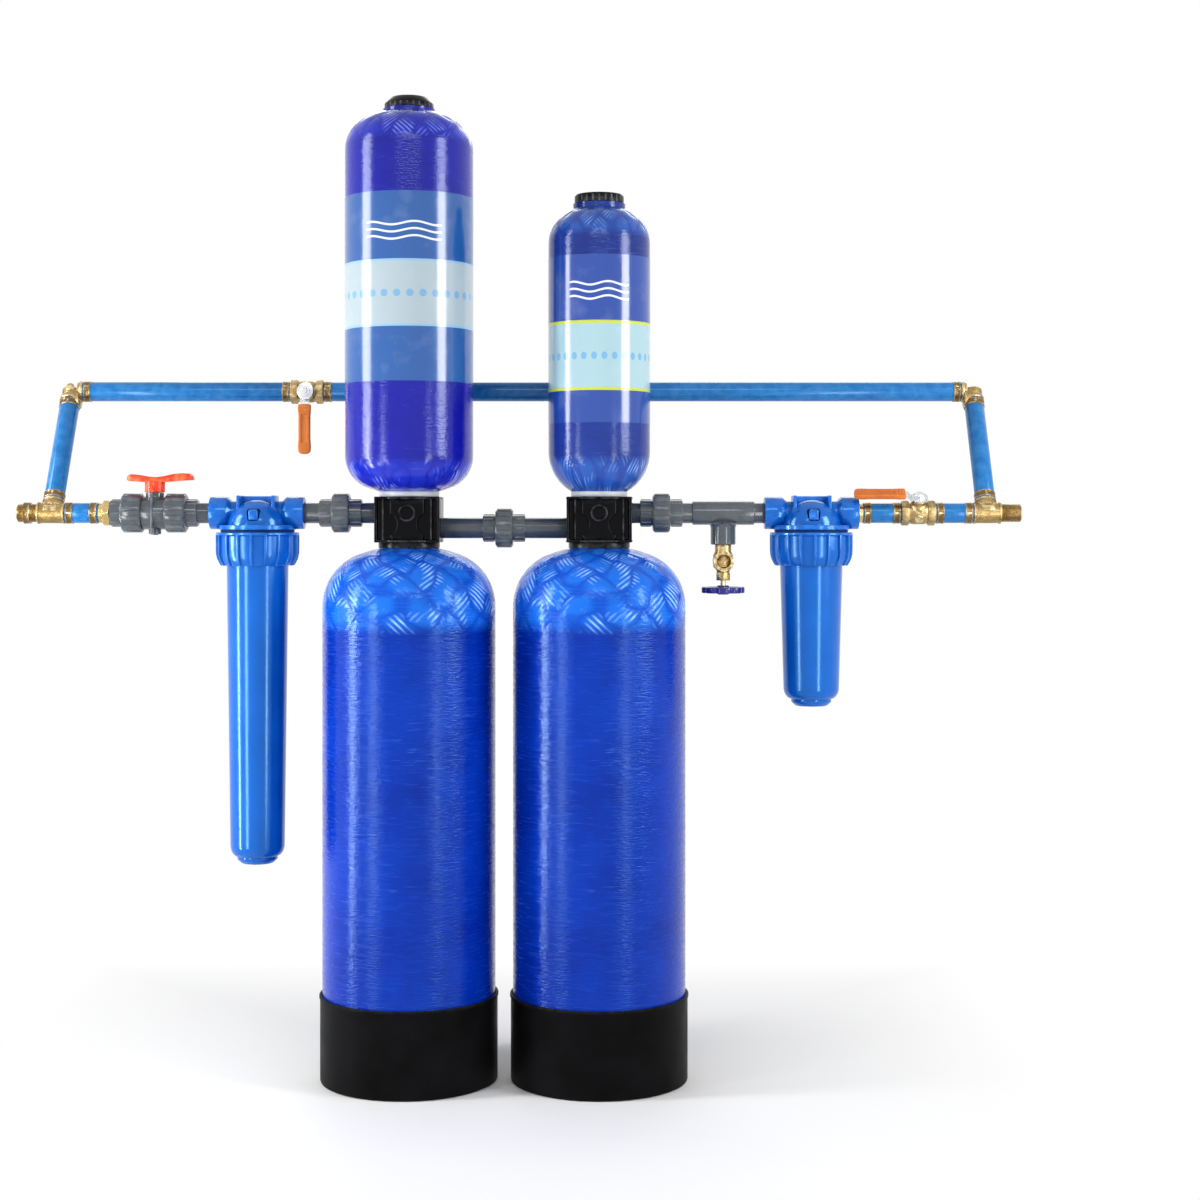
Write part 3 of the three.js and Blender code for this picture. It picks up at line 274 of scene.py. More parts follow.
def arc(centre_x, centre_y, radius, start, end, steps):
    points = []
    for index in range(steps + 1):
        angle = math.radians(start + (end - start) * index / steps)
        points.append((centre_x + radius * math.cos(angle), centre_y + radius * math.sin(angle)))
    return points


def dished_end(radius, knuckle, crown, neck):
    """A knuckle arc from the wall, then a crown arc that stops at the neck."""
    across = radius - knuckle
    sink = math.sqrt((crown - knuckle) ** 2 - across ** 2)
    meet = math.degrees(math.atan2(sink, across))
    knuckle_arc = arc(across, 0, knuckle, 0, meet, DOME_STEPS)
    crown_arc = arc(0, -sink, crown, meet, math.degrees(math.acos(neck / crown)), DOME_STEPS)
    return knuckle_arc + crown_arc[1:]


def dish_height(radius, knuckle, crown):
    return crown - math.sqrt((crown - knuckle) ** 2 - (radius - knuckle) ** 2)


def raised(outline, height):
    return [(radius, height + z) for radius, z in outline]


def hanging(outline, height):
    return [(radius, height - z) for radius, z in reversed(outline)]


def dressed(piece, finish, body="frame", nodes=(), smooth=34):
    """Give a finished piece its shading, material and body, and hide the nodes it stands for."""
    material, slot = finish
    select_only(piece)
    bpy.ops.object.shade_smooth_by_angle(angle=math.radians(smooth))
    piece.data.materials.clear()
    piece.data.materials.append(material)
    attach(piece, body)
    if nodes:
        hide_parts(*nodes)
    return piece


def stand_in(node, piece, finish, turn=UP, place=(0, 0, 0), body="frame", smooth=34):
    """Put a finished shape where the node of that name is, in its stead."""
    piece.name = f"{node}_shape"
    return dressed(settle(piece, turn, place), finish, body, [node], smooth)


# Shader values: sums and products of them make the maths nodes
class Field:
    """One output of a shader node."""

    def __init__(self, node, output=0):
        self.tree = node.id_data
        self.socket = node.outputs[output]

    def __add__(self, other):
        return maths("ADD", self, other)

    def __sub__(self, other):
        return maths("SUBTRACT", self, other)

    def __rsub__(self, other):
        return maths("SUBTRACT", other, self)

    def __mul__(self, other):
        return maths("MULTIPLY", self, other)


def plug(socket, value):
    """Give an input a number, a colour, a vector or another node's output."""
    if isinstance(value, Field):
        value.tree.links.new(value.socket, socket)
    elif socket.type == "RGBA":
        socket.default_value = (*value, 1)
    else:
        socket.default_value = value


def feed(node, **values):
    for name, value in values.items():
        plug(node.inputs[name.replace("_", " ")], value)
    return node


def add_node(tree, kind, **settings):
    node = tree.nodes.new(kind)
    for name, value in settings.items():
        setattr(node, name, value)
    return node


def maths(operation, first, second=None, clamp=False):
    tree = first.tree if isinstance(first, Field) else second.tree
    node = add_node(tree, "ShaderNodeMath", operation=operation, use_clamp=clamp)
    plug(node.inputs[0], first)
    if second is not None:
        plug(node.inputs[1], second)
    return Field(node)


def object_place(tree):
    return Field(add_node(tree, "ShaderNodeTexCoord"), "Object")


def mapping(vector, **settings):
    return Field(feed(add_node(vector.tree, "ShaderNodeMapping"), Vector=vector, **settings))


def split(vector):
    parts = feed(add_node(vector.tree, "ShaderNodeSeparateXYZ"), Vector=vector)
    return [Field(parts, axis) for axis in "XYZ"]


def noise(vector, scale, detail=3.0, rough=0.5):
    node = add_node(vector.tree, "ShaderNodeTexNoise")
    return Field(feed(node, Vector=vector, Scale=scale, Detail=detail, Roughness=rough), "Fac")


def ramp(value, low, high, at_low=0.0, at_high=1.0):
    node = add_node(value.tree, "ShaderNodeMapRange")
    return Field(feed(node, Value=value, From_Min=low, From_Max=high, To_Min=at_low, To_Max=at_high))


def blended(mask, first, second):
    node = add_node(mask.tree, "ShaderNodeMix", data_type="RGBA")
    for index, value in ((0, mask), (6, first), (7, second)):
        plug(node.inputs[index], value)
    return Field(node, 2)


def bumped(height, strength, distance):
    node = add_node(height.tree, "ShaderNodeBump")
    return Field(feed(node, Height=height, Strength=strength, Distance=distance))


# Shared effects as node groups. Each puts out masks, colours or normals only.
def new_group(name, inputs, outputs):
    group = bpy.data.node_groups.new(name, "ShaderNodeTree")
    for socket, value in inputs.items():
        made = group.interface.new_socket(socket, in_out="INPUT", socket_type="NodeSocketFloat")
        made.default_value = value
    for socket, kind in outputs.items():
        group.interface.new_socket(socket, in_out="OUTPUT", socket_type=kind)
    start = group.nodes.new("NodeGroupInput")
    given = {socket: Field(start, socket) for socket in inputs}
    return group, given, group.nodes.new("NodeGroupOutput")


def edge_wear_group():
    """Rubbed edges: 1 on sharp outward edges, broken up by noise. On the head this mask also lays a painted
    highlight along the edges.
    """
    tree, given, end = new_group(
        "edge_wear", {"Sharpness": 0.53, "Scale": 90.0}, {"Mask": "NodeSocketFloat"})
    geometry = add_node(tree, "ShaderNodeNewGeometry")
    edges = Field(geometry, "Pointiness") - given["Sharpness"]
    edges = maths("MULTIPLY", edges, 12.0, clamp=True)
    breakup = ramp(noise(object_place(tree), given["Scale"]), 0.35, 0.65)
    feed(end, Mask=maths("MULTIPLY", edges, breakup, clamp=True))
    return tree


def surface_grain_group():
    """Fine moulded or cast grain as a normal, with a slow mottle beside it as a mask."""
    tree, given, end = new_group(
        "surface_grain", {"Scale": 900.0, "Strength": 0.1, "Depth": 0.0002, "Mottle Scale": 18.0},
        {"Mottle": "NodeSocketFloat", "Grain": "NodeSocketFloat", "Normal": "NodeSocketVector"})
    place = object_place(tree)
    grain = noise(place, given["Scale"], detail=4.0, rough=0.6)
    mottle = ramp(noise(place, given["Mottle Scale"]), 0.3, 0.7)
    feed(end, Mottle=mottle, Grain=grain, Normal=bumped(grain, given["Strength"], given["Depth"]))
    return tree


EDGE_WEAR = edge_wear_group()
SURFACE_GRAIN = surface_grain_group()


# Finishes: each is a material paired with a slot name
def new_material(name):
    material = bpy.data.materials.new(name)
    material.use_nodes = True
    tree = material.node_tree
    return material, tree, tree.nodes["Principled BSDF"]


def worn_edges(tree, **values):
    return Field(feed(add_node(tree, "ShaderNodeGroup", node_tree=EDGE_WEAR), **values), "Mask")


def surface_grain(tree, **values):
    """The mottle, the grain and the normal of a moulded or cast surface."""
    node = feed(add_node(tree, "ShaderNodeGroup", node_tree=SURFACE_GRAIN), **values)
    return [Field(node, output) for output in ("Mottle", "Grain", "Normal")]


def moulded(
        name, slot, dark, light, worn, roughness, coat=0.0, grain=0.08, wear=0.53, metallic=0.0,
        scale=900.0, shine=0.3, tint=(1, 1, 1)):
    """A moulded or cast surface: two close shades, rubbed edges and a fine grain."""
    material, tree, shader = new_material(name)
    mottle, _, normal = surface_grain(tree, Strength=grain, Scale=scale)
    colour = blended(worn_edges(tree, Sharpness=wear), blended(mottle, dark, light), worn)
    rough = ramp(mottle, 0.0, 1.0, roughness * 0.85, roughness * 1.2)
    feed(
        shader, Base_Color=colour, Roughness=rough, Normal=normal, Metallic=metallic,
        Specular_IOR_Level=shine, Specular_Tint=tint, Coat_Weight=coat, Coat_Roughness=0.08)
    return material, slot


def cast_brass(name, dark, light, roughness, grain):
    """Cast brass: bright metal on the proud places, brown patina in the rough."""
    material, tree, shader = new_material(name)
    mottle, grains, normal = surface_grain(tree, Strength=grain, Scale=650.0, Mottle_Scale=60.0)
    rubbed = worn_edges(tree, Sharpness=0.52, Scale=200.0)
    speckle = ramp(grains, 0.38, 0.62)
    colour = blended(rubbed, blended(speckle * mottle, dark, light), RUBBED_BRASS)
    rough = ramp(speckle, 0.0, 1.0, roughness * 1.3, roughness * 0.8)
    feed(shader, Base_Color=colour, Roughness=rough, Normal=normal, Metallic=1.0)
    return material, "brass"


def wound_shell(
        name, centre_x, deep, bright, dome, painted_glint, roughness, shine, coat, tint, ripple, wrapped=None):
    """Fibre-wound shell under clear resin: level turns on the wall, bands that cross on the domes.

    The crossed bands also reach down to the height `wrapped`, where one is given.
    """
    material, tree, shader = new_material(name)
    place = add_node(tree, "ShaderNodeTexCoord")
    centred = mapping(Field(place, "Object"), Location=(-centre_x * MM, 0, 0))
    x, y, z = split(centred)
    facing = split(Field(place, "Normal"))[2]
    on_dome = ramp(maths("ABSOLUTE", facing), 0.10, 0.32)
    if wrapped:
        on_dome = maths("MAXIMUM", on_dome, ramp(z, (wrapped - 9) * MM, (wrapped + 9) * MM))

    climb = (z - maths("SQRT", x * x + y * y)) * (2 * math.pi / BAND_PITCH)
    round_axis = maths("ARCTAN2", y, x) * BANDS_ROUND
    phases = (climb + round_axis, climb - round_axis)
    wander = noise(centred, 16.0, detail=2.0)
    rising, falling = [maths("SINE", phase + wander * 5.0) for phase in phases]
    crossed = rising * falling
    over = ramp(crossed, -0.06, 0.06)
    swell = maths("ABSOLUTE", crossed)
    fray = noise(centred, 45.0, detail=2.0) * 2.6
    upper, under = [maths("SINE", fray + phase * FIBRES_IN_BAND) for phase in phases]
    woven = over * upper + (1.0 - over) * under
    strands = noise(mapping(centred, Scale=(1, 1, 12)), 34.0, detail=5.0, rough=0.62)
    jagged = noise(mapping(centred, Scale=(1, 1, 5)), 110.0, detail=2.0)

    cloud = ramp(noise(centred, 7.0, detail=4.0, rough=0.6), 0.3, 0.72)
    colour = blended(cloud, deep, bright)
    colour = blended(ramp(strands, 0.45, 0.75) * 0.5, colour, bright)
    # The domes take the lighter dome colour as painted light, as if they caught more light than the wall;
    # the crossing-band patches in it are the shell's own pattern.
    patches = blended(ramp(swell, -0.25, 0.5), bright, dome)
    colour = blended(on_dome * 0.85, colour, patches)
    # Painted glints: the glint colour goes on the domes' crossing bands, and in faint flecks along the
    # wall's turns, as painted highlights.
    streak = noise(centred, 30.0, detail=2.0)
    painted_glint_mask = ramp(woven, 0.0, 0.7) * ramp(streak, 0.49, 0.69) * ramp(swell, 0.05, 0.45)
    colour = blended(maths("MULTIPLY", painted_glint_mask, on_dome, clamp=True), colour, painted_glint)
    painted_glint_flecks = ramp(strands, 0.60, 0.72) * ramp(wander, 0.5, 0.68)
    colour = blended(painted_glint_flecks * 0.14, colour, painted_glint)

    dome_relief = on_dome * (woven * 0.05 + swell * 1.2)
    wall_share = ripple - on_dome * (ripple * 0.8)
    relief = dome_relief + wall_share * (strands * 0.4 + jagged * 0.8)
    feed(
        shader, Base_Color=colour, Roughness=ramp(strands, 0.40, 0.60, roughness * 0.6, roughness * 2.2),
        Normal=bumped(relief, 0.8, MM), Specular_IOR_Level=shine, Specular_Tint=tint, Coat_Weight=coat,
        Coat_Roughness=0.10, Coat_IOR=1.4)
    return material, "tank_blue"


BAND_PITCH = 0.11
BANDS_ROUND = 6.0
FIBRES_IN_BAND = 12.0
RUBBED_BRASS = (0.93, 0.80, 0.50)
UPPER_RESIN = {"roughness": 0.09, "coat": 0.08, "tint": (0.72, 0.80, 1.0), "ripple": 0.6}
# In these colour sets, dome is a lighter shade laid on the domes as painted light, and glint is the colour
# of painted glints.
ROYAL = {
    "deep": (0.000, 0.010, 0.22), "bright": (0.001, 0.036, 0.42), "dome": (0.011, 0.15, 0.70),
    "painted_glint": (0.34, 0.58, 0.97), "roughness": 0.13, "shine": 0.36, "coat": 0.03, "tint": (0.35, 0.68, 1.0),
    "ripple": 1.0, "wrapped": 590}
VIOLET = {
    "deep": (0.003, 0.003, 0.20), "bright": (0.006, 0.007, 0.33), "dome": (0.012, 0.026, 0.45),
    "painted_glint": (0.22, 0.28, 0.80), "shine": 0.42, **UPPER_RESIN}
SLATE = {
    "deep": (0.005, 0.015, 0.15), "bright": (0.012, 0.038, 0.27), "dome": (0.025, 0.10, 0.42),
    "painted_glint": (0.22, 0.36, 0.70), "shine": 0.36, **UPPER_RESIN}
LEFT_SHELL = wound_shell("left_shell", 0, **ROYAL)
RIGHT_SHELL = wound_shell("right_shell", TANK_SPACING, **ROYAL)
LEFT_UPPER_SHELL = wound_shell("left_upper_shell", 0, **VIOLET)
RIGHT_UPPER_SHELL = wound_shell("right_upper_shell", TANK_SPACING, **SLATE)
BOOT_PLASTIC = moulded(
    "boot_plastic", "black_plastic", (0.002, 0.002, 0.002), (0.005, 0.005, 0.006), (0.03, 0.03, 0.033),
    0.45, grain=0.12, shine=0.04)
# The head's rubbed edges are pale grey: edge wear, and also a painted highlight along the edges.
HEAD_PLASTIC = moulded(
    "head_plastic", "black_plastic", (0.001, 0.001, 0.002), (0.002, 0.002, 0.003), (0.12, 0.125, 0.13),
    0.22, grain=0.05, wear=0.54, shine=0.10)
FILTER_BLUE = moulded(
    "filter_blue", "filter_blue", (0.000, 0.074, 0.38), (0.001, 0.092, 0.46), (0.04, 0.22, 0.76), 0.17,
    grain=0.03, shine=0.9, tint=(0.32, 0.70, 1.0))
PIPE_BLUE = moulded(
    "pipe_blue", "pipe_blue", (0.005, 0.115, 0.35), (0.008, 0.140, 0.41), (0.10, 0.34, 0.68), 0.17,
    grain=0.02, shine=0.40, tint=(0.6, 0.82, 1.0))
PIPE_GREY = moulded(
    "pipe_grey", "grey_plastic", (0.048, 0.060, 0.070), (0.064, 0.078, 0.090), (0.15, 0.17, 0.19), 0.16,
    grain=0.03, shine=0.55)
COLLAR_WHITE = moulded(
    "collar_plastic", "white_plastic", (0.42, 0.46, 0.50), (0.55, 0.58, 0.60), (0.7, 0.72, 0.74), 0.4,
    grain=0.05)
HANDLE_RED = moulded(
    "handle_red", "red_plastic", (0.66, 0.020, 0.003), (0.76, 0.030, 0.005), (0.92, 0.16, 0.05), 0.30,
    coat=0.1, grain=0.04)
GRIP_ORANGE = moulded(
    "grip_orange", "lever", (0.50, 0.115, 0.018), (0.66, 0.18, 0.030), (0.80, 0.32, 0.10), 0.48, grain=0.16,
    scale=500.0)
WHEEL_NAVY = moulded(
    "wheel_navy", "navy_plastic", (0.008, 0.008, 0.14), (0.014, 0.014, 0.22), (0.10, 0.10, 0.40), 0.30,
    coat=0.3, grain=0.05)
SEAL_RUBBER = moulded(
    "seal_rubber", "seal", (0.001, 0.012, 0.070), (0.002, 0.018, 0.10), (0.01, 0.05, 0.20), 0.65, grain=0.1)
LEVER_STEEL = moulded(
    "plated_steel", "lever", (0.62, 0.63, 0.65), (0.74, 0.75, 0.77), (0.9, 0.9, 0.92), 0.24, grain=0.05,
    metallic=1.0)
BALL_STEEL = (LEVER_STEEL[0], "bright_ball")
WHITE_PLASTIC = moulded(
    "white_plastic", None, (0.72, 0.72, 0.70), (0.80, 0.80, 0.78), (0.85, 0.85, 0.84), 0.45, grain=0.05)
WOUND_FIBRE = moulded(
    "wound_fibre", None, (0.62, 0.62, 0.58), (0.80, 0.80, 0.76), (0.85, 0.85, 0.82), 0.9, grain=0.6,
    scale=420.0)
MEDIA_GRAINS = moulded(
    "media_grains", None, (0.01, 0.01, 0.01), (0.06, 0.06, 0.06), (0.1, 0.1, 0.1), 0.85, grain=1.0,
    scale=380.0)
CAST_BRASS = cast_brass("cast_brass", (0.26, 0.165, 0.055), (0.66, 0.50, 0.24), 0.36, 0.55)
TURNED_BRASS = cast_brass("turned_brass", (0.52, 0.36, 0.13), (0.80, 0.63, 0.32), 0.24, 0.12)
CRIMP_BRONZE = cast_brass("crimp_bronze", (0.14, 0.085, 0.030), (0.34, 0.235, 0.10), 0.34, 0.25)


# Floor tanks, boots and upper tanks
TANK_RADIUS = 112
TANK_KNUCKLE = 72
TANK_CROWN = 190
TANK_BOTTOM = 4.3
TANK_TOP = 690
BOOT_RADIUS = 114.9
BOOT_HEIGHT = 112
HEAD_BOTTOM = 696
HEAD_TOP = 755
UPPER_COLLAR = 7
CAP_RADIUS = 32
LEFT_UPPER = {
    "radius": 83, "top": 1258, "knuckle": 46, "crown": 145, "low_knuckle": 44, "low_crown": 150, "neck": 39,
    "cap": 15, "chamfer": 8}
RIGHT_UPPER = {
    "radius": 66, "top": 1135, "knuckle": 48, "crown": 90, "low_knuckle": 60, "low_crown": 70, "neck": 36.5,
    "cap": 12, "chamfer": 2}


def floor_tank():
    dish = dish_height(TANK_RADIUS, TANK_KNUCKLE, TANK_CROWN)
    low = dished_end(TANK_RADIUS, TANK_KNUCKLE, TANK_CROWN, 0)
    high = dished_end(TANK_RADIUS, TANK_KNUCKLE, TANK_CROWN, 38)
    outline = hanging(low, TANK_BOTTOM + dish) + raised(high, TANK_TOP + 2 - dish)
    mouth = HEAD_BOTTOM - 6.3
    return turned("tank", outline + [(37.5, mouth), (0, mouth)], TANK_FACETS)


def boot():
    outer, lip = BOOT_RADIUS, BOOT_RADIUS + 1
    outline = [
        (0, 0), (outer - 2.5, 0), (outer - 0.7, 0.7), (outer, 2.5), (outer, 106.5), (lip, 108.2),
        (lip, 111.2), (outer + 0.4, BOOT_HEIGHT), (112.9, BOOT_HEIGHT), (112.3, 111), (112.3, 4), (0, 4)]
    return turned("boot", outline, TANK_FACETS)


def upper_tank(tank):
    low = dished_end(tank["radius"], tank["low_knuckle"], tank["low_crown"], tank["neck"])
    high = dished_end(tank["radius"], tank["knuckle"], tank["crown"], 34)
    wall_low = HEAD_TOP + UPPER_COLLAR + low[-1][1]
    wall_high = tank["top"] - dish_height(tank["radius"], tank["knuckle"], tank["crown"])
    neck = HEAD_TOP + UPPER_COLLAR - 0.6
    outline = [(0, neck), (tank["neck"] - 1.2, neck)] + hanging(low, wall_low) + raised(high, wall_high)
    return turned("upper_tank", outline + [(34, tank["top"]), (0, tank["top"])], TANK_FACETS)


def upper_collar(name, tank):
    neck, low, high = tank["neck"], HEAD_TOP + 0.3, HEAD_TOP + UPPER_COLLAR - 0.3
    return hoop(name, [
        (neck - 6, low), (neck - 0.5, low), (neck, low + 0.8), (neck, high - 0.8), (neck - 0.5, high),
        (neck - 6, high)], COLLAR_FACETS)


def upper_cap(tank):
    """Screwed cap: a knurled skirt under a sloping shoulder, with a recessed face."""
    low = tank["top"] + 0.3
    high = low + tank["cap"]
    slope_foot = high - tank["chamfer"]
    rim = CAP_RADIUS - 4 - tank["chamfer"]
    outline = [
        (0, low - 10), (30.2, low - 10), (30.2, low), (31.4, low), (CAP_RADIUS, low + 0.6),
        (CAP_RADIUS, slope_foot - 0.6), (31.6, slope_foot), (rim + 4.6, high - 0.4), (rim + 3.6, high),
        (rim + 0.6, high), (rim, high - 0.6), (rim, high - 4), (0, high - 4)]
    cap = turned("cap", outline, COLLAR_FACETS)
    grips = around(24, 31.5, lambda: block("grip", 1.0, 2.4, low + 0.8, slope_foot - 0.8))
    return joined("cap", cap, *grips, block("tab", 2 * rim, 4, high - 4.2, high - 1.2))


def head():
    """Moulded head: a box whose front and back have a pocket, a waisted column, a boss and ribs."""
    core = block("head", 84, 72, HEAD_BOTTOM, HEAD_TOP)
    bpy.ops.object.mode_set(mode="EDIT")
    bpy.ops.mesh.select_mode(type="FACE")
    bpy.ops.mesh.select_all(action="DESELECT")
    bpy.ops.object.mode_set(mode="OBJECT")
    for face in core.data.polygons:
        face.select = abs(face.normal.y) > 0.9
    bpy.ops.object.mode_set(mode="EDIT")
    bpy.ops.mesh.inset(thickness=3.2 * MM, use_individual=True)
    bpy.ops.mesh.inset(thickness=0.8 * MM, depth=-7 * MM, use_individual=True)
    bpy.ops.object.mode_set(mode="OBJECT")
    parts = [bevelled(core, 1.2, 3)]
    low, high = HEAD_BOTTOM + 3, HEAD_TOP - 3
    for side in (-1, 1):
        column = [
            (-19, low), (19, low), *arc(28.5, 719, 15.5, -115, -245, 9), (22, high), (-22, high),
            *arc(-28.5, 719, 15.5, 65, -65, 9)]
        web = soft_plate("column", column, 26, 34.2, 1.4, 3)
        parts.append(settle(web, TO_FRONT if side < 0 else (-90, 180, 0)))
        boss = turned("boss", [
            (0, 25), (11, 25), (11, 38), (10, 39), (8, 39), (7.2, 37.6), (0, 37.2)], FITTING_FACETS)
        parts.append(settle(boss, (90 * -side, 0, 0), (0, 0, RUN_HEIGHT)))
        for end in (-1, 1):
            parts.append(moved(soft_block("rib", 2.2, 7, low, high, 0.8), 31 * end, side * 31))
    for foot, top in ((HEAD_TOP - 3.4, HEAD_TOP - 0.1), (HEAD_BOTTOM + 0.1, HEAD_BOTTOM + 3.4)):
        outline = [(0, foot), (42.5, foot), (43.5, foot + 1), (43.5, top - 1), (42.5, top), (0, top)]
        parts.append(turned("flange", outline, COLLAR_FACETS))
    skirt = [
        (38.2, -7.4), (39.2, -7.4), (39.8, -6.8), (39.8, -1), (39, 1), (30, 1), (30, -5.6), (38.2, -5.6)]
    parts.append(hoop("skirt", raised(skirt, HEAD_BOTTOM), COLLAR_FACETS))
    for height, turn in ((RUN_HEIGHT, ALONG_MINUS_X), (LOW_RUN_HEIGHT, ALONG_X)):
        port = hoop("port", [
            (13.6, 30), (17.0, 30), (17.85, 31), (17.85, 41.2), (17.2, 42), (14.2, 42), (13.6, 41.4)],
            PIPE_FACETS)
        parts.append(settle(port, turn, (0, 0, height)))
    return joined("head", *parts)


def stack(side, x, turn, tank, shell, upper_shell):
    here = (x, 0, 0)
    stand_in(f"{side}_boot", boot(), BOOT_PLASTIC, UP, here)
    stand_in(f"{side}_tank", floor_tank(), shell, UP, here, smooth=60)
    stand_in(f"{side}_upper_tank", upper_tank(tank), upper_shell, UP, here, smooth=60)
    collar = moved(upper_collar(f"{side}_upper_collar", tank), x)
    dressed(collar, COLLAR_WHITE)
    stand_in(f"{side}_upper_cap", upper_cap(tank), HEAD_PLASTIC, UP, here)
    stand_in(f"{side}_head", head(), HEAD_PLASTIC, turn, here)


stack("left", 0, UP, LEFT_UPPER, LEFT_SHELL, LEFT_UPPER_SHELL)
stack("right", TANK_SPACING, HALF_TURN, RIGHT_UPPER, RIGHT_SHELL, RIGHT_UPPER_SHELL)


# Grey plastic pipe, unions and valve ends, modelled along Z outwards from the union's middle
def ribbed_nut(low, high, ribs=12, radius=25.7):
    """A pulled-out nut body: rounded ends, and raised pads between shallow grooves."""
    base = radius - 1.2
    nut = hoop("nut", [
        (18.2, low), (base - 1.6, low), (base - 0.3, low + 0.9), (base, low + 2.2), (base, high - 3),
        (base - 0.8, high - 1.2), (base - 3, high), (18.2, high)], COLLAR_FACETS)
    pads = around(ribs, radius - 1.3, lambda: soft_block("pad", 2.6, 5.6, low + 1.8, high - 2.4, 0.9), 0.5)
    return joined("nut", nut, *pads)


def keyed_socket(name, start, steps, near, far):
    """Stepped socket with low axial keys round it, by which a wrench or hand holds it."""
    body = smooth_tube(name, PVC_BORE, start, steps)
    keys = around(8, SOCKET_RADIUS, lambda: soft_block("key", 1.6, 2.4, near, far, 0.5, 1))
    return joined(name, body, *keys)


def tail_end(name, pipe):
    steps = [(4, SHOULDER_RADIUS), (20.3, SOCKET_RADIUS), (pipe, PVC_RADIUS)]
    return keyed_socket(name, 3.2, steps, 13, 26.5)


def threaded_end(name, pipe):
    steps = [(14.4, SHOULDER_RADIUS), (16, SOCKET_RADIUS), (pipe, PVC_RADIUS)]
    return keyed_socket(name, -2.9, steps, 12.6, 26.8)


def union(name, x, height, left_pipe, right_pipe, nut_body):
    here = (x, 0, height)
    left = settle(tail_end(f"{name}_left_shape", left_pipe), ALONG_MINUS_X, here)
    dressed(left, PIPE_GREY, nodes=[f"{name}_left_end"])
    if right_pipe:
        right = settle(threaded_end(f"{name}_right_shape", right_pipe), ALONG_X, here)
        dressed(right, PIPE_GREY, nodes=[f"{name}_right_end"])
    stand_in(f"{name}_nut", ribbed_nut(-11.5, 11.5), PIPE_GREY, ALONG_MINUS_X, here, nut_body)


union("first_union", FIRST_UNION_X, RUN_HEIGHT, 34.7, 33.7, "first_nut")
union("second_union", SECOND_UNION_X, LOW_RUN_HEIGHT, 68.7, 68.7, "second_nut")
union("third_union", THIRD_UNION_X, RUN_HEIGHT, 25.7, 0, "third_nut")


def sampling_tee():
    """Tee glued to the union's threaded end on one side and the filter's pipe on the other."""
    run = settle(smooth_tube("run", PVC_BORE, -40, [(80, 15.4), (28.2, PVC_RADIUS)], 1.0), ALONG_X)
    branch = hoop("branch", [
        (10.9, -41), (15.4, -41), (16.2, -40), (16.2, -19), (17.4, -15.4), (19.6, -13.2), (10, -10)],
        PIPE_FACETS)
    tail = settle(threaded_end("tail", 15), ALONG_X, (THIRD_UNION_X - SAMPLING_TEE_X, 0, 0))
    return joined("tee", run, branch, tail)


stand_in("sampling_tee", sampling_tee(), PIPE_GREY, UP, (SAMPLING_TEE_X, 0, RUN_HEIGHT))


def valve_body():
    """Ball valve's middle: barrel, stem tower with a flat flange, mounting foot and parting ridges."""
    steps = [(21.3, SHOULDER_RADIUS), (29.4, 21.5), (21.3, SHOULDER_RADIUS)]
    barrel = settle(smooth_tube("barrel", 14.6, -36, steps, 1.2), ALONG_X)
    tower = turned("tower", [
        (0, 0), (15.5, 0), (15.5, 15), (12.6, 19.5), (11.7, 21), (11.7, 26), (11.2, 26.5), (7, 26.5),
        (7, 20), (0, 20)], FITTING_FACETS)
    foot = turned("foot", [
        (0, -28.5), (4.5, -28.5), (4.5, -27.5), (7.4, -27.5), (8, -26.9), (8, -20), (11, -15), (0, 0)], 32)
    ridge = soft_block("ridge", 3.2, 44.2, -27.5, 25, 0.8)
    band = soft_block("band", 29, 43.6, -1.3, 1.3, 0.6)
    for seam in (ridge, band):
        bored(seam, settle(rod("clear", 15, -30, 30), ALONG_X))
    return joined("valve_body", barrel, tower, foot, ridge, band)


def red_handle():
    """Wing handle: a ribbed hub under one bar that dips in its middle and swells to its ends."""
    hub = hoop("hub", [(5.9, 26.9), (12.6, 26.9), (12.6, 40.9), (5.9, 40.9)], FITTING_FACETS)
    bevelled(hub, 0.8, 2)
    flutes = around(8, 12.3, lambda: soft_block("flute", 1.4, 3, 27.4, 40.4, 0.5, 1))
    side = [
        (-35.6, 43.2), (-33, 41.4), (-12, 40.2), (0, 39.9), (14, 40.2), (36, 42.0), (50.6, 43.0),
        (51, 44.2), (49, 48.5), (45.5, 51.2), (36, 51.6), (25, 50.6), (14, 48.0), (4, 46.6), (-6, 47.0),
        (-16, 49.0), (-28, 50.4), (-33, 49.6), (-35.4, 46.5)]
    bar = settle(plate("bar", side, -9.5, 9.5), TO_FRONT)
    plan = [
        (-36, -4), *arc(-29, 0, 8.2, 240, 270, 3), (-12, -9), (0, -9.5), (14, -8.6), (34, -9.5),
        *arc(42.5, 0, 9.5, -90, 90, 8), (34, 9.5), (14, 8.6), (0, 9.5), (-12, 9),
        *arc(-29, 0, 8.2, 90, 120, 3), (-36, 4)]
    boolean(bar, plate("plan", plan, 30, 60), "INTERSECT")
    return joined("handle", hub, *flutes, bevelled(bar, 1.6, 3, 25))


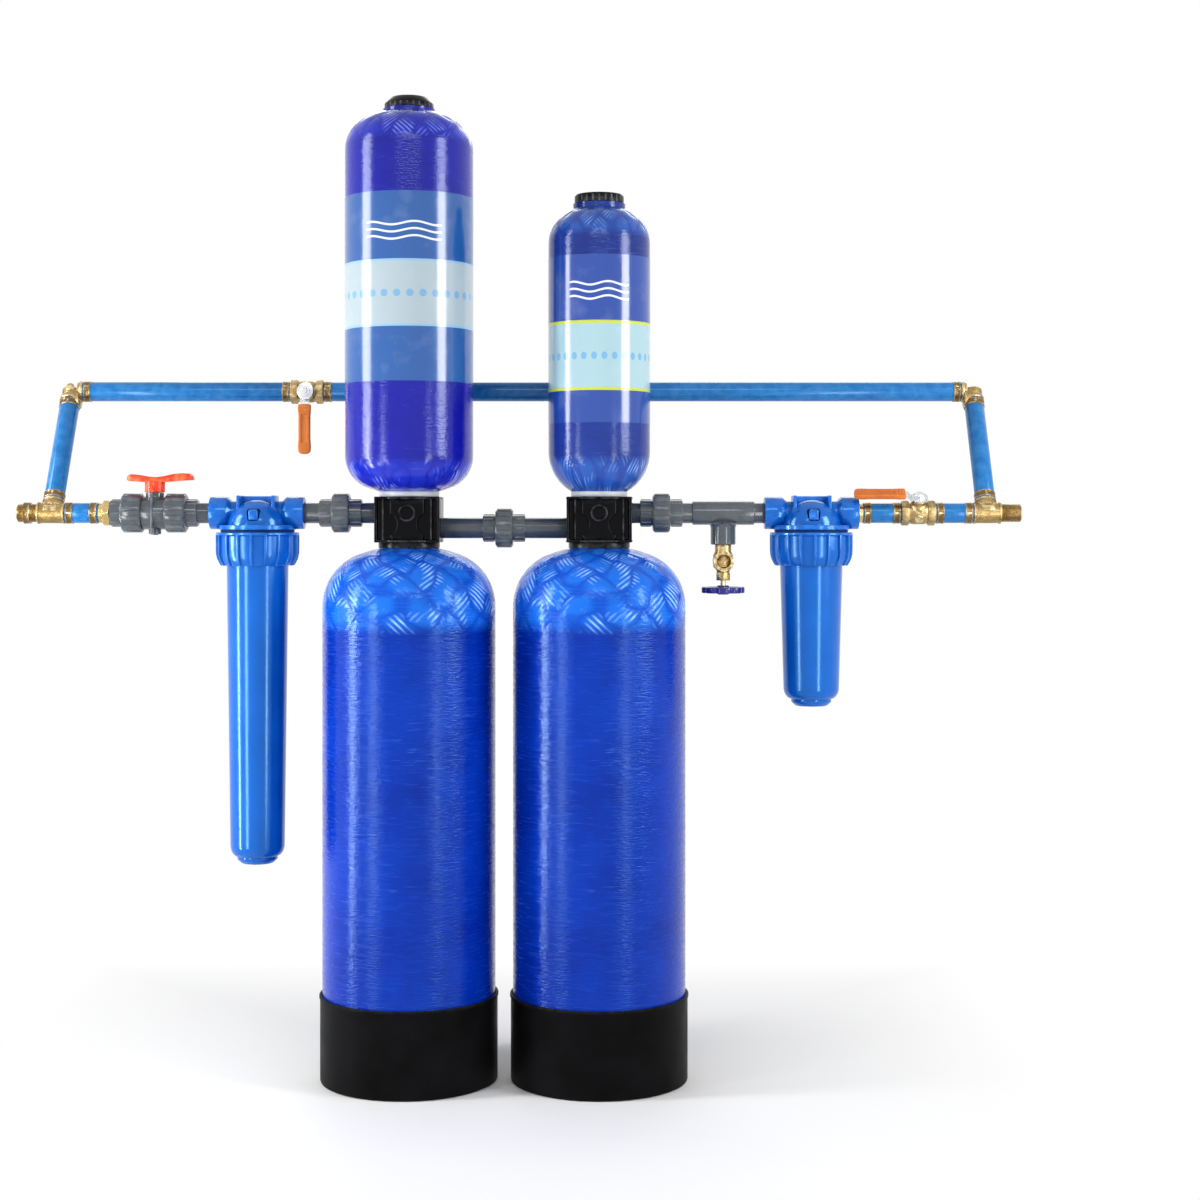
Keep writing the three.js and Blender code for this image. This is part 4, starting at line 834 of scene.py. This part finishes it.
def inlet_valve():
    here = (INLET_VALVE_X, 0, RUN_HEIGHT)
    for side, turn, pipe in (("left", ALONG_MINUS_X, []), ("right", ALONG_X, [(30.7, PVC_RADIUS)])):
        steps = [(16.3, 14), (1.4, SHOULDER_RADIUS), (18.8, SOCKET_RADIUS), *pipe]
        end = keyed_socket("end", 20, steps, 43, 55.5)
        stand_in(f"inlet_valve_{side}_end", end, PIPE_GREY, turn, here)
        stand_in(f"inlet_valve_{side}_nut", ribbed_nut(15, 42), PIPE_GREY, turn, here, f"inlet_{side}_nut")
    stand_in("inlet_valve_body", valve_body(), PIPE_GREY, UP, here)
    stand_in("inlet_valve_handle", red_handle(), HANDLE_RED, UP, here, "inlet_handle")


inlet_valve()


# Filter housings, modelled about their own axis at the run's height
FLANGE_TOP = -15.6
FLANGE_BOTTOM = -21.6
COLLAR_TOP = -25.1
COLLAR_BOTTOM = -68.1
COLLAR_RIBS = 18
LONG_FILTER = {"name": "long_filter", "depth": 454, "top": 39.7, "low": 35}
SHORT_FILTER = {"name": "short_filter", "depth": 250, "top": 40.5, "low": 36}


def filter_cap():
    """Domed cap with two shouldered ports, a raised mounting pad between fins, and the button's well."""
    crown = [(39.6 * across, 34 * up + FLANGE_TOP) for across, up in arc(0, 0, 1, 0, 90, 20)]
    dome = turned("dome", [
        (0, FLANGE_BOTTOM), (49, FLANGE_BOTTOM), (49.5, FLANGE_BOTTOM + 0.5), (49.5, -16.2),
        (48.9, FLANGE_TOP), (46.8, FLANGE_TOP), (46.2, -16.6), (41, -16.6), *crown[:-1], (0, 18.4)],
        TANK_FACETS)
    mouth = [
        *arc(-3.6, -6.6, 4, 180, 270, 5), *arc(3.6, -6.6, 4, 270, 360, 5), *arc(4.8, 1.6, 4, 0, 90, 5),
        *arc(-4.8, 1.6, 4, 90, 180, 5)]
    parts = [bored(dome, settle(plate("well", mouth, 15.6, 60), TO_FRONT))]
    for turn in (ALONG_MINUS_X, ALONG_X):
        port = hoop("port", [
            (14.2, 46), (14.2, 61), (20, 61), (20.7, 60.7), (21, 60), (21, 38.6), (20.6, 37.9), (15.9, 33),
            (15.6, 32.3), (15.6, 4), (10, 4), (10, 46)], 56)
        parts.append(settle(port, turn))
    parts.append(soft_block("pad", 43, 9, 2, 22, 0.8))
    parts.append(soft_block("pad_foot", 43, 30, 2, 8, 0.8))
    for side in (-1, 1):
        parts.append(moved(soft_block("lug", 3, 16, FLANGE_TOP - 3, FLANGE_TOP + 2.2, 0.7), 47.6 * side))
    for side in (-1, 1):
        fin = [(-20, -6), (20, -6), (20, 21.4), (18.7, 22.7), (-18.7, 22.7), (-20, 21.4)]
        fin = settle(soft_plate("fin", fin, -2, 2, 0.7), (90, 0, 90))
        parts.append(moved(fin, 22.5 * side))
    return joined("cap", *parts)


def pressure_button():
    key = [
        *arc(-4.4, -8, 1.6, 180, 270, 3), *arc(4.4, -8, 1.6, 270, 360, 3), *arc(3.4, 1.8, 2.6, 0, 90, 4),
        *arc(-3.4, 1.8, 2.6, 90, 180, 4)]
    return settle(soft_plate("button", key, 18.9, 38.4, 1.5, 3), TO_FRONT)


def ribbed_collar():
    """The sump's threaded collar: a top band over ribs that follow the body's rounded foot."""
    low = COLLAR_BOTTOM
    shell = hoop("shell", [
        (43, low), (44.2, low), (45, low + 0.5), (47.2, low + 4), (49.2, low + 9), (50.3, low + 15),
        (50.5, low + 22), (50.5, COLLAR_TOP - 5), (51.8, COLLAR_TOP - 4.2), (53.2, COLLAR_TOP - 3.6),
        (53.7, COLLAR_TOP - 3), (53.7, COLLAR_TOP - 0.8), (53, COLLAR_TOP), (43, COLLAR_TOP)], 88)
    blade = [
        (44, low), (47.2, low), (49.6, low + 4), (52, low + 9), (53.4, low + 15), (53.7, low + 22),
        (53.7, COLLAR_TOP - 2), (44, COLLAR_TOP - 2)]
    ribs = around(COLLAR_RIBS, 0, lambda: settle(soft_plate("rib", blade, -1.7, 1.7, 0.8), TO_FRONT), 0.5)
    return joined("collar", shell, *ribs)


def sump(size):
    """Slim tapering bowl with a rounded shoulder down to a stepped foot."""
    collar = ribbed_collar()
    foot = -size["depth"]
    across = size["low"] - 26
    shoulder = [(26 + across * out, foot + 24 + 15 * up) for out, up in arc(0, 0, 1, -90, 0, 14)]
    outline = [
        (0, foot + 1.2), (14, foot + 1.2), (15, foot), (20.2, foot), (21, foot + 0.3), (25.6, foot + 4.6),
        (26, foot + 5.6), *shoulder, (size["top"], COLLAR_BOTTOM + 2), (size["top"], COLLAR_TOP - 8),
        (0, COLLAR_TOP - 8)]
    return joined("sump", turned("bowl", outline, TANK_FACETS), collar)


def seal_ring():
    middle = (FLANGE_BOTTOM + COLLAR_TOP) / 2
    return turned("seal", arc(46.3, middle, 1.6, -90, 270, 12), TANK_FACETS)


def filter_housing(x, size, prefix):
    name, here = size["name"], (x, 0, RUN_HEIGHT)
    stand_in(f"{name}_cap", filter_cap(), FILTER_BLUE, UP, here, smooth=30)
    stand_in(f"{name}_button", pressure_button(), FILTER_BLUE, UP, here, f"{prefix}_button")
    stand_in(f"{name}_sump", sump(size), FILTER_BLUE, UP, here, f"{prefix}_sump")
    stand_in(f"{name}_seal", seal_ring(), SEAL_RUBBER, UP, here, f"{prefix}_sump")


filter_housing(LONG_FILTER_X, LONG_FILTER, "long")
filter_housing(SHORT_FILTER_X, SHORT_FILTER, "short")


# Blue pipe with its crimp rings
def blue_pipe(node, length, turn, place, leaning=False):
    pipe = smooth_tube("pipe", BLUE_PIPE_BORE, 0, [(length, BLUE_PIPE_RADIUS)], 0.5)
    rings = []
    for start in (1.5, length - 10.5):
        ring = [
            (12.9, 0), (13.5, 0), (13.9, 0.4), (13.9, 1.6), (13.6, 2.6), (13.6, 6.4), (13.9, 7.4),
            (13.9, 8.6), (13.5, 9), (12.9, 9)]
        rings.append(hoop("ring", raised(ring, start), PIPE_FACETS))
        tab = moved(soft_block("tab", 1.0, 2.6, start + 1, start + 8, 0.3, 1), 13.3)
        rings.append(settle(tab, (0, 0, -90)))
    crimps = joined(f"{node}_crimp_rings", *rings)
    for piece in (pipe, crimps):
        settle(piece, turn, place)
        if leaning:
            lean_back(piece)
    stand_in(node, pipe, PIPE_BLUE)
    dressed(crimps, CRIMP_BRONZE)


RISER_LOW = 18.3
ELBOW_REACH = 16.3
VALVE_REACH = 22.3
RISER_LENGTH = LOOP_REACH - ELBOW_REACH - RISER_LOW
OUTLET_STUB_END = OUTLET_STUB_X + 5.3


def bypass_pipe(node, start, end):
    blue_pipe(node, end - start, ALONG_X, (start, 0, LOOP_REACH), True)


blue_pipe("inlet_pipe", 43, ALONG_X, (INLET_PIPE_END - 43, 0, RUN_HEIGHT))
blue_pipe("last_pipe", 49, ALONG_X, (LAST_PIPE_X, 0, RUN_HEIGHT))
blue_pipe("left_riser_pipe", RISER_LENGTH, UP, (INLET_TEE_X, 0, RISER_LOW), True)
blue_pipe("right_riser_pipe", RISER_LENGTH, UP, (OUTLET_TEE_X, 0, RISER_LOW), True)
bypass_pipe("left_bypass_pipe", INLET_TEE_X + ELBOW_REACH, BYPASS_VALVE_X - VALVE_REACH)
bypass_pipe("right_bypass_pipe", BYPASS_VALVE_X + VALVE_REACH, OUTLET_TEE_X - ELBOW_REACH)
blue_pipe("outlet_pipe", 50, ALONG_X, (OUTLET_STUB_END, 0, RUN_HEIGHT))
stub = smooth_tube("outlet_stub_shape", BRASS_BORE, -14.7, [(15, PVC_RADIUS), (5, 12.6), (6, 10.5)])
dressed(settle(stub, ALONG_X, (OUTLET_STUB_X, 0, RUN_HEIGHT)), TURNED_BRASS)


# Brass fittings
def barb(low, high, radius=9.9):
    """Ribbed insert that the blue pipe is crimped on."""
    outline = [(BRASS_BORE, low)]
    height = low
    while height < high - 3:
        outline += [(radius - 0.9, height), (radius, height + 2.4), (radius - 0.9, height + 2.6)]
        height += 3
    return hoop("barb", [*outline, (radius - 0.9, high), (BRASS_BORE, high)], BARB_FACETS)


def threaded_nipple(near, far, radius, bore, facets, pitch=1.8):
    """Tapered pipe thread, as turned rings."""
    outline = [(bore, near), (radius - 0.9, near)]
    height = near + 1.4
    while height < far - 1.6:
        outline += [
            (radius - 1.0, height), (radius - 0.15, height + pitch / 2), (radius - 1.0, height + pitch)]
        height += pitch
    return hoop("nipple", [*outline, (radius - 1.0, far - 0.9), (radius - 1.8, far), (bore, far)], facets)


def raised_mark(radius, low, high):
    """Eight-sided mark that stands up on the front of a casting."""
    return settle(soft_plate("mark", arc(0, 0, radius, 0, 315, 7), low, high, 0.5, 1), TO_FRONT)


def brass_tee():
    """Cast tee: beaded ends, a turned nipple outwards, barbs into the two blue pipes."""
    run = hoop("run", [
        (BRASS_BORE, -18), (13.4, -18), (14.2, -17.4), (14.2, -15.6), (13.2, -14.8), (13.2, 14.8),
        (14.2, 15.6), (14.2, 17.4), (13.4, 18), (BRASS_BORE, 18)], PIPE_FACETS)
    parts = [settle(run, ALONG_X)]
    parts.append(turned("riser", [
        (0, 0), (15.4, 6), (14.2, 10), (13.2, 13), (13.2, 14.8), (14.2, 15.6), (14.2, 17.4), (13.4, 18),
        (BRASS_BORE, 18), (BRASS_BORE, 8), (0, 7)], PIPE_FACETS))
    parts.append(barb(17.5, 36))
    parts.append(settle(barb(17.5, 36), ALONG_X))
    parts.append(settle(threaded_nipple(17, 44, 12, 8, PIPE_FACETS), ALONG_MINUS_X))
    pad = soft_block("pad", 17, 27.4, -4.5, 4.5, 0.9)
    parts.append(bored(pad, settle(rod("clear", 12.6, -20, 20), ALONG_X)))
    return joined("tee", *parts)


def elbow():
    """Cast elbow: a bend swept through a quarter turn between two beaded collars."""
    select_only()
    bpy.ops.mesh.primitive_circle_add(
        vertices=40, radius=12.6 * MM, fill_type="NOTHING", location=(0, 0, -13 * MM))
    bend = named("bend")
    edit_all()
    bpy.ops.mesh.spin(steps=14, angle=math.pi / 2, center=(13 * MM, 0, -13 * MM), axis=(0, 1, 0))
    bpy.ops.mesh.select_all(action="SELECT")
    bpy.ops.mesh.edge_face_add()
    bpy.ops.object.mode_set(mode="OBJECT")
    parts = [settle(bend)]
    for turn in ((180, 0, 0), ALONG_X):
        collar = hoop("collar", [
            (BRASS_BORE, 9), (12.6, 9), (12.8, 11.6), (14, 12.6), (14.2, 13.2), (14.2, 15.2), (13.6, 16),
            (BRASS_BORE, 16)], FITTING_FACETS)
        parts.append(settle(collar, turn))
        parts.append(settle(barb(15.5, 34), turn))
    return joined("elbow", *parts, raised_mark(6, 11.4, 12.7))


def loop_fitting(node, fitting, x, turn, height):
    """Set a fitting at the foot or the top of a riser."""
    stand_in(node, lean_back(settle(fitting, turn, (x, 0, height))), CAST_BRASS)


loop_fitting("inlet_tee", brass_tee(), INLET_TEE_X, UP, 0)
loop_fitting("outlet_tee", brass_tee(), OUTLET_TEE_X, HALF_TURN, 0)
nipple_ring = hoop("inlet_nipple_ring", [
    (11.5, 26.7), (13.4, 26.7), (13.9, 27.2), (13.9, 28.2), (13.6, 29), (13.6, 33.4), (13.9, 34.2),
    (13.9, 35.2), (13.4, 35.7), (11.5, 35.7)], PIPE_FACETS)
dressed(settle(nipple_ring, ALONG_MINUS_X, (INLET_TEE_X, 0, RUN_HEIGHT)), CRIMP_BRONZE)
loop_fitting("left_elbow", elbow(), INLET_TEE_X, UP, LOOP_REACH)
loop_fitting("right_elbow", elbow(), OUTLET_TEE_X, HALF_TURN, LOOP_REACH)


def inlet_adapter():
    rear = threaded_nipple(-15.6, 1, 11.9, BRASS_BORE, FITTING_FACETS)
    hexagon = chamfered_hexagon("hexagon", 18.5, 0.4, 9)
    neck = hoop("neck", [
        (BRASS_BORE, 8), (13.2, 8), (13.2, 9.6), (12.6, 10.4), (12.6, 15), (12, 15.8), (BRASS_BORE, 15.8)],
        FITTING_FACETS)
    return joined("adapter", rear, hexagon, neck, barb(15.5, 34))


stand_in("inlet_adapter", inlet_adapter(), TURNED_BRASS, ALONG_MINUS_X, (ADAPTER_X, 0, RUN_HEIGHT))


# Brass lever valves, modelled with the stem up and the lever towards -X
LEVER_LOW = 23
LEVER_THICK = 2.6
GRIP_HEIGHT = 30.3
BALL_RADIUS = 11


def lever_valve_body():
    """Cast ball valve: a barrel round the ball's chamber, hexagons at its ends, a stem boss, barbs."""
    chamber, chamber_end = BALL_RADIUS + 0.4, 8.6
    barrel = hoop("barrel", [
        (BRASS_BORE, -14), (12.4, -14), (13.9, -10), (14.6, -6), (14.6, 6), (13.9, 10), (12.4, 14),
        (BRASS_BORE, 14), (BRASS_BORE, chamber_end), (chamber, chamber_end), (chamber, -chamber_end),
        (BRASS_BORE, -chamber_end)], 56)
    parts = [settle(barrel, ALONG_X)]
    for turn in (ALONG_X, ALONG_MINUS_X):
        hexagon = bored(chamfered_hexagon("hexagon", 16.5, 12, 22), rod("bore", BRASS_BORE, 0, 30))
        parts.append(settle(hexagon, turn))
        parts.append(settle(barb(21.5, 40), turn))
    parts.append(hoop("boss", [
        (9.6, 8), (12.4, 8), (10.6, 14.6), (9, 16.4), (9, 21), (8.2, 22), (5, 22), (5, 20), (4.2, 20),
        (4.2, 11.7), (9.6, 11.7)], PIPE_FACETS))
    return joined("body", *parts, raised_mark(6.4, 13.2, 14.6))


def lever_plate():
    """Bent steel strip: a round hub over the stem, then a joggle up into the grip."""
    low, high = LEVER_LOW, LEVER_LOW + LEVER_THICK
    rise = GRIP_HEIGHT - LEVER_LOW - LEVER_THICK / 2
    side = [
        (12, low), (12, high), (-10.6, high), (-16, high + rise), (-78, high + rise), (-78, low + rise),
        (-17, low + rise), (-11.6, low)]
    strip = settle(plate("strip", side, -12, 12), TO_FRONT)
    plan = [
        *arc(0, 0, BALL_RADIUS, -145, 145, 24), (-14, 6.5), (-19, 5.6), (-78, 5.6), (-78, -5.6),
        (-19, -5.6), (-14, -6.5)]
    boolean(strip, plate("plan", plan, 15, 40), "INTERSECT")
    return bevelled(strip, 0.5, 2, 40)


def lever_grip(name):
    """Dipped plastic grip: swollen ends, a waist, and a long sunk panel on both faces."""
    plan = [
        (-18.4, -7.6), (-20.4, -8.5), (-27, -8.5), (-34, -7.8), (-66, -7.8), (-74, -8.5),
        *arc(-78.5, -2, 6.5, -90, -180, 5)[1:], *arc(-78.5, 2, 6.5, 180, 90, 5)[:-1], (-74, 8.5),
        (-66, 7.8), (-34, 7.8), (-27, 8.5), (-20.4, 8.5), (-18.4, 7.6)]
    grip = soft_plate(name, plan, GRIP_HEIGHT - 3.5, GRIP_HEIGHT + 3.5, 1.5, 3)
    for face in (-1, 1):
        panel = soft_block("panel", 38, 9, -0.7, 0.7, 0.6)
        bored(grip, moved(panel, -51, 0, GRIP_HEIGHT + 3.5 * face))
    for x in (-24, -27.5):
        groove = soft_block("groove", 1.3, 30, -0.5, 0.5, 0.3, 1)
        bored(grip, moved(groove, x, 0, GRIP_HEIGHT + 3.6))
    return grip


def stem_and_ball():
    ball = turned("ball", arc(0, 0, BALL_RADIUS, -90, 90, 18), PIPE_FACETS)
    bored(ball, settle(rod("bore", 7.5, -20, 20), ALONG_X))
    stem = turned("stem", [(0, 9.6), (4, 9.6), (4, 30.3), (3.4, 30.9), (0, 30.9)], 32)
    nut = chamfered_hexagon("nut", 7, 25.9, 30.2)
    washer = hoop("washer", [(4, 25.7), (7.4, 25.7), (7.4, 26.3), (4, 26.3)], FITTING_FACETS)
    return joined("ball", ball, stem, nut, washer)


def lever_valve(side, stem_turn, lever_turn, place):
    tilt, lever = (stem_turn, 0, 0), f"{side}_lever"
    stand_in(f"{side}_valve_body", lever_valve_body(), CAST_BRASS, tilt, place)
    ball = settle(stem_and_ball(), (0, 0, lever_turn))
    stand_in(f"{side}_valve_ball", ball, BALL_STEEL, tilt, place, lever)
    strip = settle(lever_plate(), (0, 0, lever_turn))
    stand_in(f"{side}_valve_lever", strip, LEVER_STEEL, tilt, place, lever)
    grip = settle(lever_grip(f"{side}_valve_lever_grip"), (0, 0, lever_turn))
    dressed(settle(grip, tilt, place), GRIP_ORANGE, lever)


lever_valve("bypass", 90, 90, (BYPASS_VALVE_X, BYPASS_DEPTH, BYPASS_HEIGHT))
lever_valve("outlet", OUTLET_VALVE_TURN, 0, (OUTLET_VALVE_X, 0, RUN_HEIGHT))


# Sampling valve under its tee
VALVE_DROP = 62.5
WHEEL_HEIGHT = RUN_HEIGHT - VALVE_DROP - 37.5
WHEEL_RADIUS = 28


def sampling_valve_body():
    """Brass needle valve: a neck up into the tee, a level outlet to the front and a packing nut."""
    neck = hoop("neck", [
        (5, -15.7), (5, -55), (0, -55), (0, -82.5), (8.3, -82.5), (8.3, -76), (9, -74), (13, -70),
        (13, -55), (10.6, -50), (10.6, -15.7)], FITTING_FACETS)
    outlet = hoop("outlet", [
        (9, -20), (13, -20), (13, -18), (12.2, -17.2), (13, -16.4), (13, 13.2), (12.2, 14), (0, 14),
        (0, -9), (9, -9)], 44)
    settle(outlet, (-90, 0, 0), (0, 0, -VALVE_DROP))
    return joined("valve", neck, outlet, chamfered_hexagon("nut", 10, -87.5, -77.5))


def handwheel():
    """Lobed wheel with six windows, and a domed hub."""
    outline = []
    for index in range(96):
        angle = 2 * math.pi * index / 96
        radius = WHEEL_RADIUS - 2.6 * (1 - abs(math.cos(4 * angle)) ** 0.7)
        outline.append((radius * math.cos(angle), radius * math.sin(angle)))
    wheel = soft_plate("wheel", outline, -4, 4, 1.4, 3)
    windows = around(6, 15, lambda: bevelled(rod("window", 5, -9, 9, 28), 0.2, 1))
    bored(wheel, joined("windows", *windows))
    hub = turned("hub", [
        (0, -6), (6.4, -6), (7.6, -5.4), (8, -4.6), (8, 5), (7, 6), (0, 6)], FITTING_FACETS)
    return joined("wheel", wheel, hub)


stand_in("sampling_valve_body", sampling_valve_body(), CAST_BRASS, UP, (SAMPLING_TEE_X, 0, RUN_HEIGHT))
stand_in(
    "sampling_valve_handwheel", handwheel(), WHEEL_NAVY, UP, (SAMPLING_TEE_X, 0, WHEEL_HEIGHT), "handwheel")
stem = turned("handwheel_stem", [(0, 5), (3.4, 5), (3.4, 40.5), (0, 40.5)], 32)
screw = turned("screw", [(0, -6), (2.8, -6), (2.8, -5.2), (0, -5.2)], 24)
screw = joined("handwheel_screw_and_stem", stem, screw)
dressed(moved(screw, SAMPLING_TEE_X, 0, WHEEL_HEIGHT), TURNED_BRASS, "handwheel")


# Labels on the upper tanks: thin curved sheets with plain bands of colour
LABEL_REACH = 100
DOTS_IN_RADIAN = 5.0
DOT_BLUE = (0.10, 0.33, 0.62)
WAVE_WHITE = (0.80, 0.86, 0.92)
SCUFFED_PRINT = (0.55, 0.65, 0.75)
DEEP_BLUE = (0.012, 0.085, 0.31)
SKY_BLUE = (0.25, 0.45, 0.62)
PALE_BLUE = (0.36, 0.45, 0.50)
RIGHT_DEEP_BLUE = (0.010, 0.052, 0.30)
LIME_LINE = (0.50, 0.58, 0.03)
RIGHT_PALE_BLUE = (0.34, 0.52, 0.58)


def label_sheet(name, radius, low, high):
    inner, outer = radius + 0.06, radius + 0.36
    sheet = hoop(name, [(inner, low), (outer, low), (outer, high), (inner, high)], 144)
    behind = [(0, 0), *arc(0, 0, radius * 2, LABEL_REACH - 90, 270 - LABEL_REACH, 12)]
    return bored(sheet, plate("behind", behind, low - 5, high + 5))


def label_finish(name, centre_x, bands, dots_at, waves_at):
    """Printed film in level bands, with a ring of dots on the pale band and three wavy lines above it."""
    material, tree, shader = new_material(name)
    place = object_place(tree)
    x, y, height = split(mapping(place, Location=(-centre_x * MM, 0, 0)))
    angle = maths("ARCTAN2", x, y * -1.0)
    colour = bands[0][1]
    for start, band in bands[1:]:
        colour = blended(ramp(height, (start - 0.3) * MM, (start + 0.3) * MM), colour, band)

    across = maths("FRACT", angle * DOTS_IN_RADIAN) - 0.5
    up = (height - dots_at * MM) * 60.0
    distance = maths("SQRT", across * across + up * up)
    colour = blended(ramp(distance, 0.30, 0.27) * 0.75, colour, DOT_BLUE)

    swell = maths("SINE", angle * 9.0) * (2.2 * MM)
    near = ramp(maths("ABSOLUTE", angle), 0.62, 0.58)
    for line in range(3):
        off = maths("ABSOLUTE", height - (waves_at + 9 * line) * MM - swell)
        colour = blended(ramp(off, 1.5 * MM, 1.1 * MM) * near * 0.9, colour, WAVE_WHITE)

    film = noise(place, 30.0, detail=4.0)
    colour = blended(ramp(film, 0.55, 0.8) * 0.10, colour, SCUFFED_PRINT)
    feed(
        shader, Base_Color=colour, Roughness=ramp(film, 0.3, 0.7, 0.12, 0.20), Specular_IOR_Level=0.5,
        Coat_Weight=0.35, Coat_Roughness=0.12)
    return material, "white_plastic"


LEFT_BANDS = [(901, DEEP_BLUE), (970, SKY_BLUE), (973, PALE_BLUE), (1052, SKY_BLUE), (1055, DEEP_BLUE)]
RIGHT_BANDS = [
    (849, RIGHT_DEEP_BLUE), (890, LIME_LINE), (894, RIGHT_PALE_BLUE), (975, LIME_LINE),
    (979, RIGHT_DEEP_BLUE)]
LEFT_PRINT = label_finish("left_label_print", 0, LEFT_BANDS, 1012, 1082)
RIGHT_PRINT = label_finish("right_label_print", TANK_SPACING, RIGHT_BANDS, 934, 1008)
left_label = label_sheet("left_label", LEFT_UPPER["radius"], LEFT_BANDS[0][0], 1141)
dressed(left_label, LEFT_PRINT)
right_label = label_sheet("right_label", RIGHT_UPPER["radius"], RIGHT_BANDS[0][0], 1063)
dressed(moved(right_label, TANK_SPACING), RIGHT_PRINT)


# The inner pieces keep their own shapes and take these finishes
def refinish(finish, *node_names):
    for node_name in node_names:
        for material_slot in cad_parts[node_name].material_slots:
            material_slot.material = finish[0]


refinish(MEDIA_GRAINS, "left_media_bed", "right_media_bed")
refinish(WHITE_PLASTIC, "left_riser_tube", "right_riser_tube", "inlet_valve_ball")
refinish(WOUND_FIBRE, "long_filter_cartridge", "short_filter_cartridge")


# Floor, light and camera
def area_light(name, place, turn, size, power):
    lamp = bpy.data.lights.new(name, "AREA")
    lamp.shape = "RECTANGLE"
    lamp.size, lamp.size_y = size
    lamp.energy = power
    holder = bpy.data.objects.new(name, lamp)
    holder.location = place
    holder.rotation_euler = [math.radians(angle) for angle in turn]
    bpy.context.scene.collection.objects.link(holder)


def seen_rays(tree):
    """1 for the rays that look at a thing: straight, in a reflection or through something clear."""
    path = add_node(tree, "ShaderNodeLightPath")
    seen = maths("MAXIMUM", Field(path, "Is Camera Ray"), Field(path, "Is Glossy Ray"))
    return maths("MAXIMUM", seen, Field(path, "Is Transmission Ray"))


def studio_floor():
    """Pale floor that looks white away from the object, with the object's own shadow left in."""
    select_only()
    bpy.ops.mesh.primitive_plane_add(size=40, location=(0, 0, -0.0005))
    floor = named("floor")
    paint, tree, shader = new_material("floor_paint")
    feed(shader, Base_Color=(0.85, 0.85, 0.85), Roughness=0.7)
    x, y, _ = split(object_place(tree))
    sideways = maths("ABSOLUTE", x - TANK_SPACING / 2 * MM)
    away = ramp(maths("MAXIMUM", sideways, maths("ABSOLUTE", y)), 0.25, 0.7)
    white = add_node(tree, "ShaderNodeEmission")
    mixed = add_node(tree, "ShaderNodeMixShader")
    for index, value in enumerate((seen_rays(tree) * away, Field(shader), Field(white))):
        plug(mixed.inputs[index], value)
    feed(tree.nodes["Material Output"], Surface=Field(mixed))
    floor.data.materials.append(paint)


studio_floor()

HIGH_LAMPS = 1.28
LOW_LAMPS = 0.42
area_light("left_softbox", (-1.54, -0.42, HIGH_LAMPS), (90, 0, -75), (0.50, 1.15), 20)
area_light("right_softbox", (1.80, -0.88, HIGH_LAMPS), (90, 0, 62), (0.56, 1.15), 26)
area_light("left_strip", (-1.10, -0.36, LOW_LAMPS), (90, 0, -73), (0.09, 0.84), 8)
area_light("left_fill_strip", (-0.86, -0.97, LOW_LAMPS), (90, 0, -44), (0.18, 0.84), 5.5)
area_light("right_strip", (1.15, -1.35, LOW_LAMPS), (90, 0, 38), (0.16, 0.84), 5)
area_light("front", (0.25, -3.4, 2.6), (61, 0, 0), (2.6, 0.3), 26)
area_light("rim", (0.3, 2.4, 2.4), (-60, 0, 0), (2.4, 1.2), 18)

SKY_FILL = 0.32
scene = bpy.context.scene
world = bpy.data.worlds.new("studio")
world.use_nodes = True
scene.world = world
sky = world.node_tree
feed(sky.nodes["Background"], Color=(1, 1, 1), Strength=ramp(seen_rays(sky), 0.0, 1.0, SKY_FILL, 1.0))

camera = bpy.data.cameras.new("camera")
camera.lens = 63
camera.sensor_width = 36
camera.shift_y = -0.0667
eye = bpy.data.objects.new("camera", camera)
eye.location = (0.248, -2.73, 0.725)
eye.rotation_euler = (math.radians(90), 0, 0)
scene.collection.objects.link(eye)
scene.camera = eye
scene.view_settings.view_transform = "Standard"
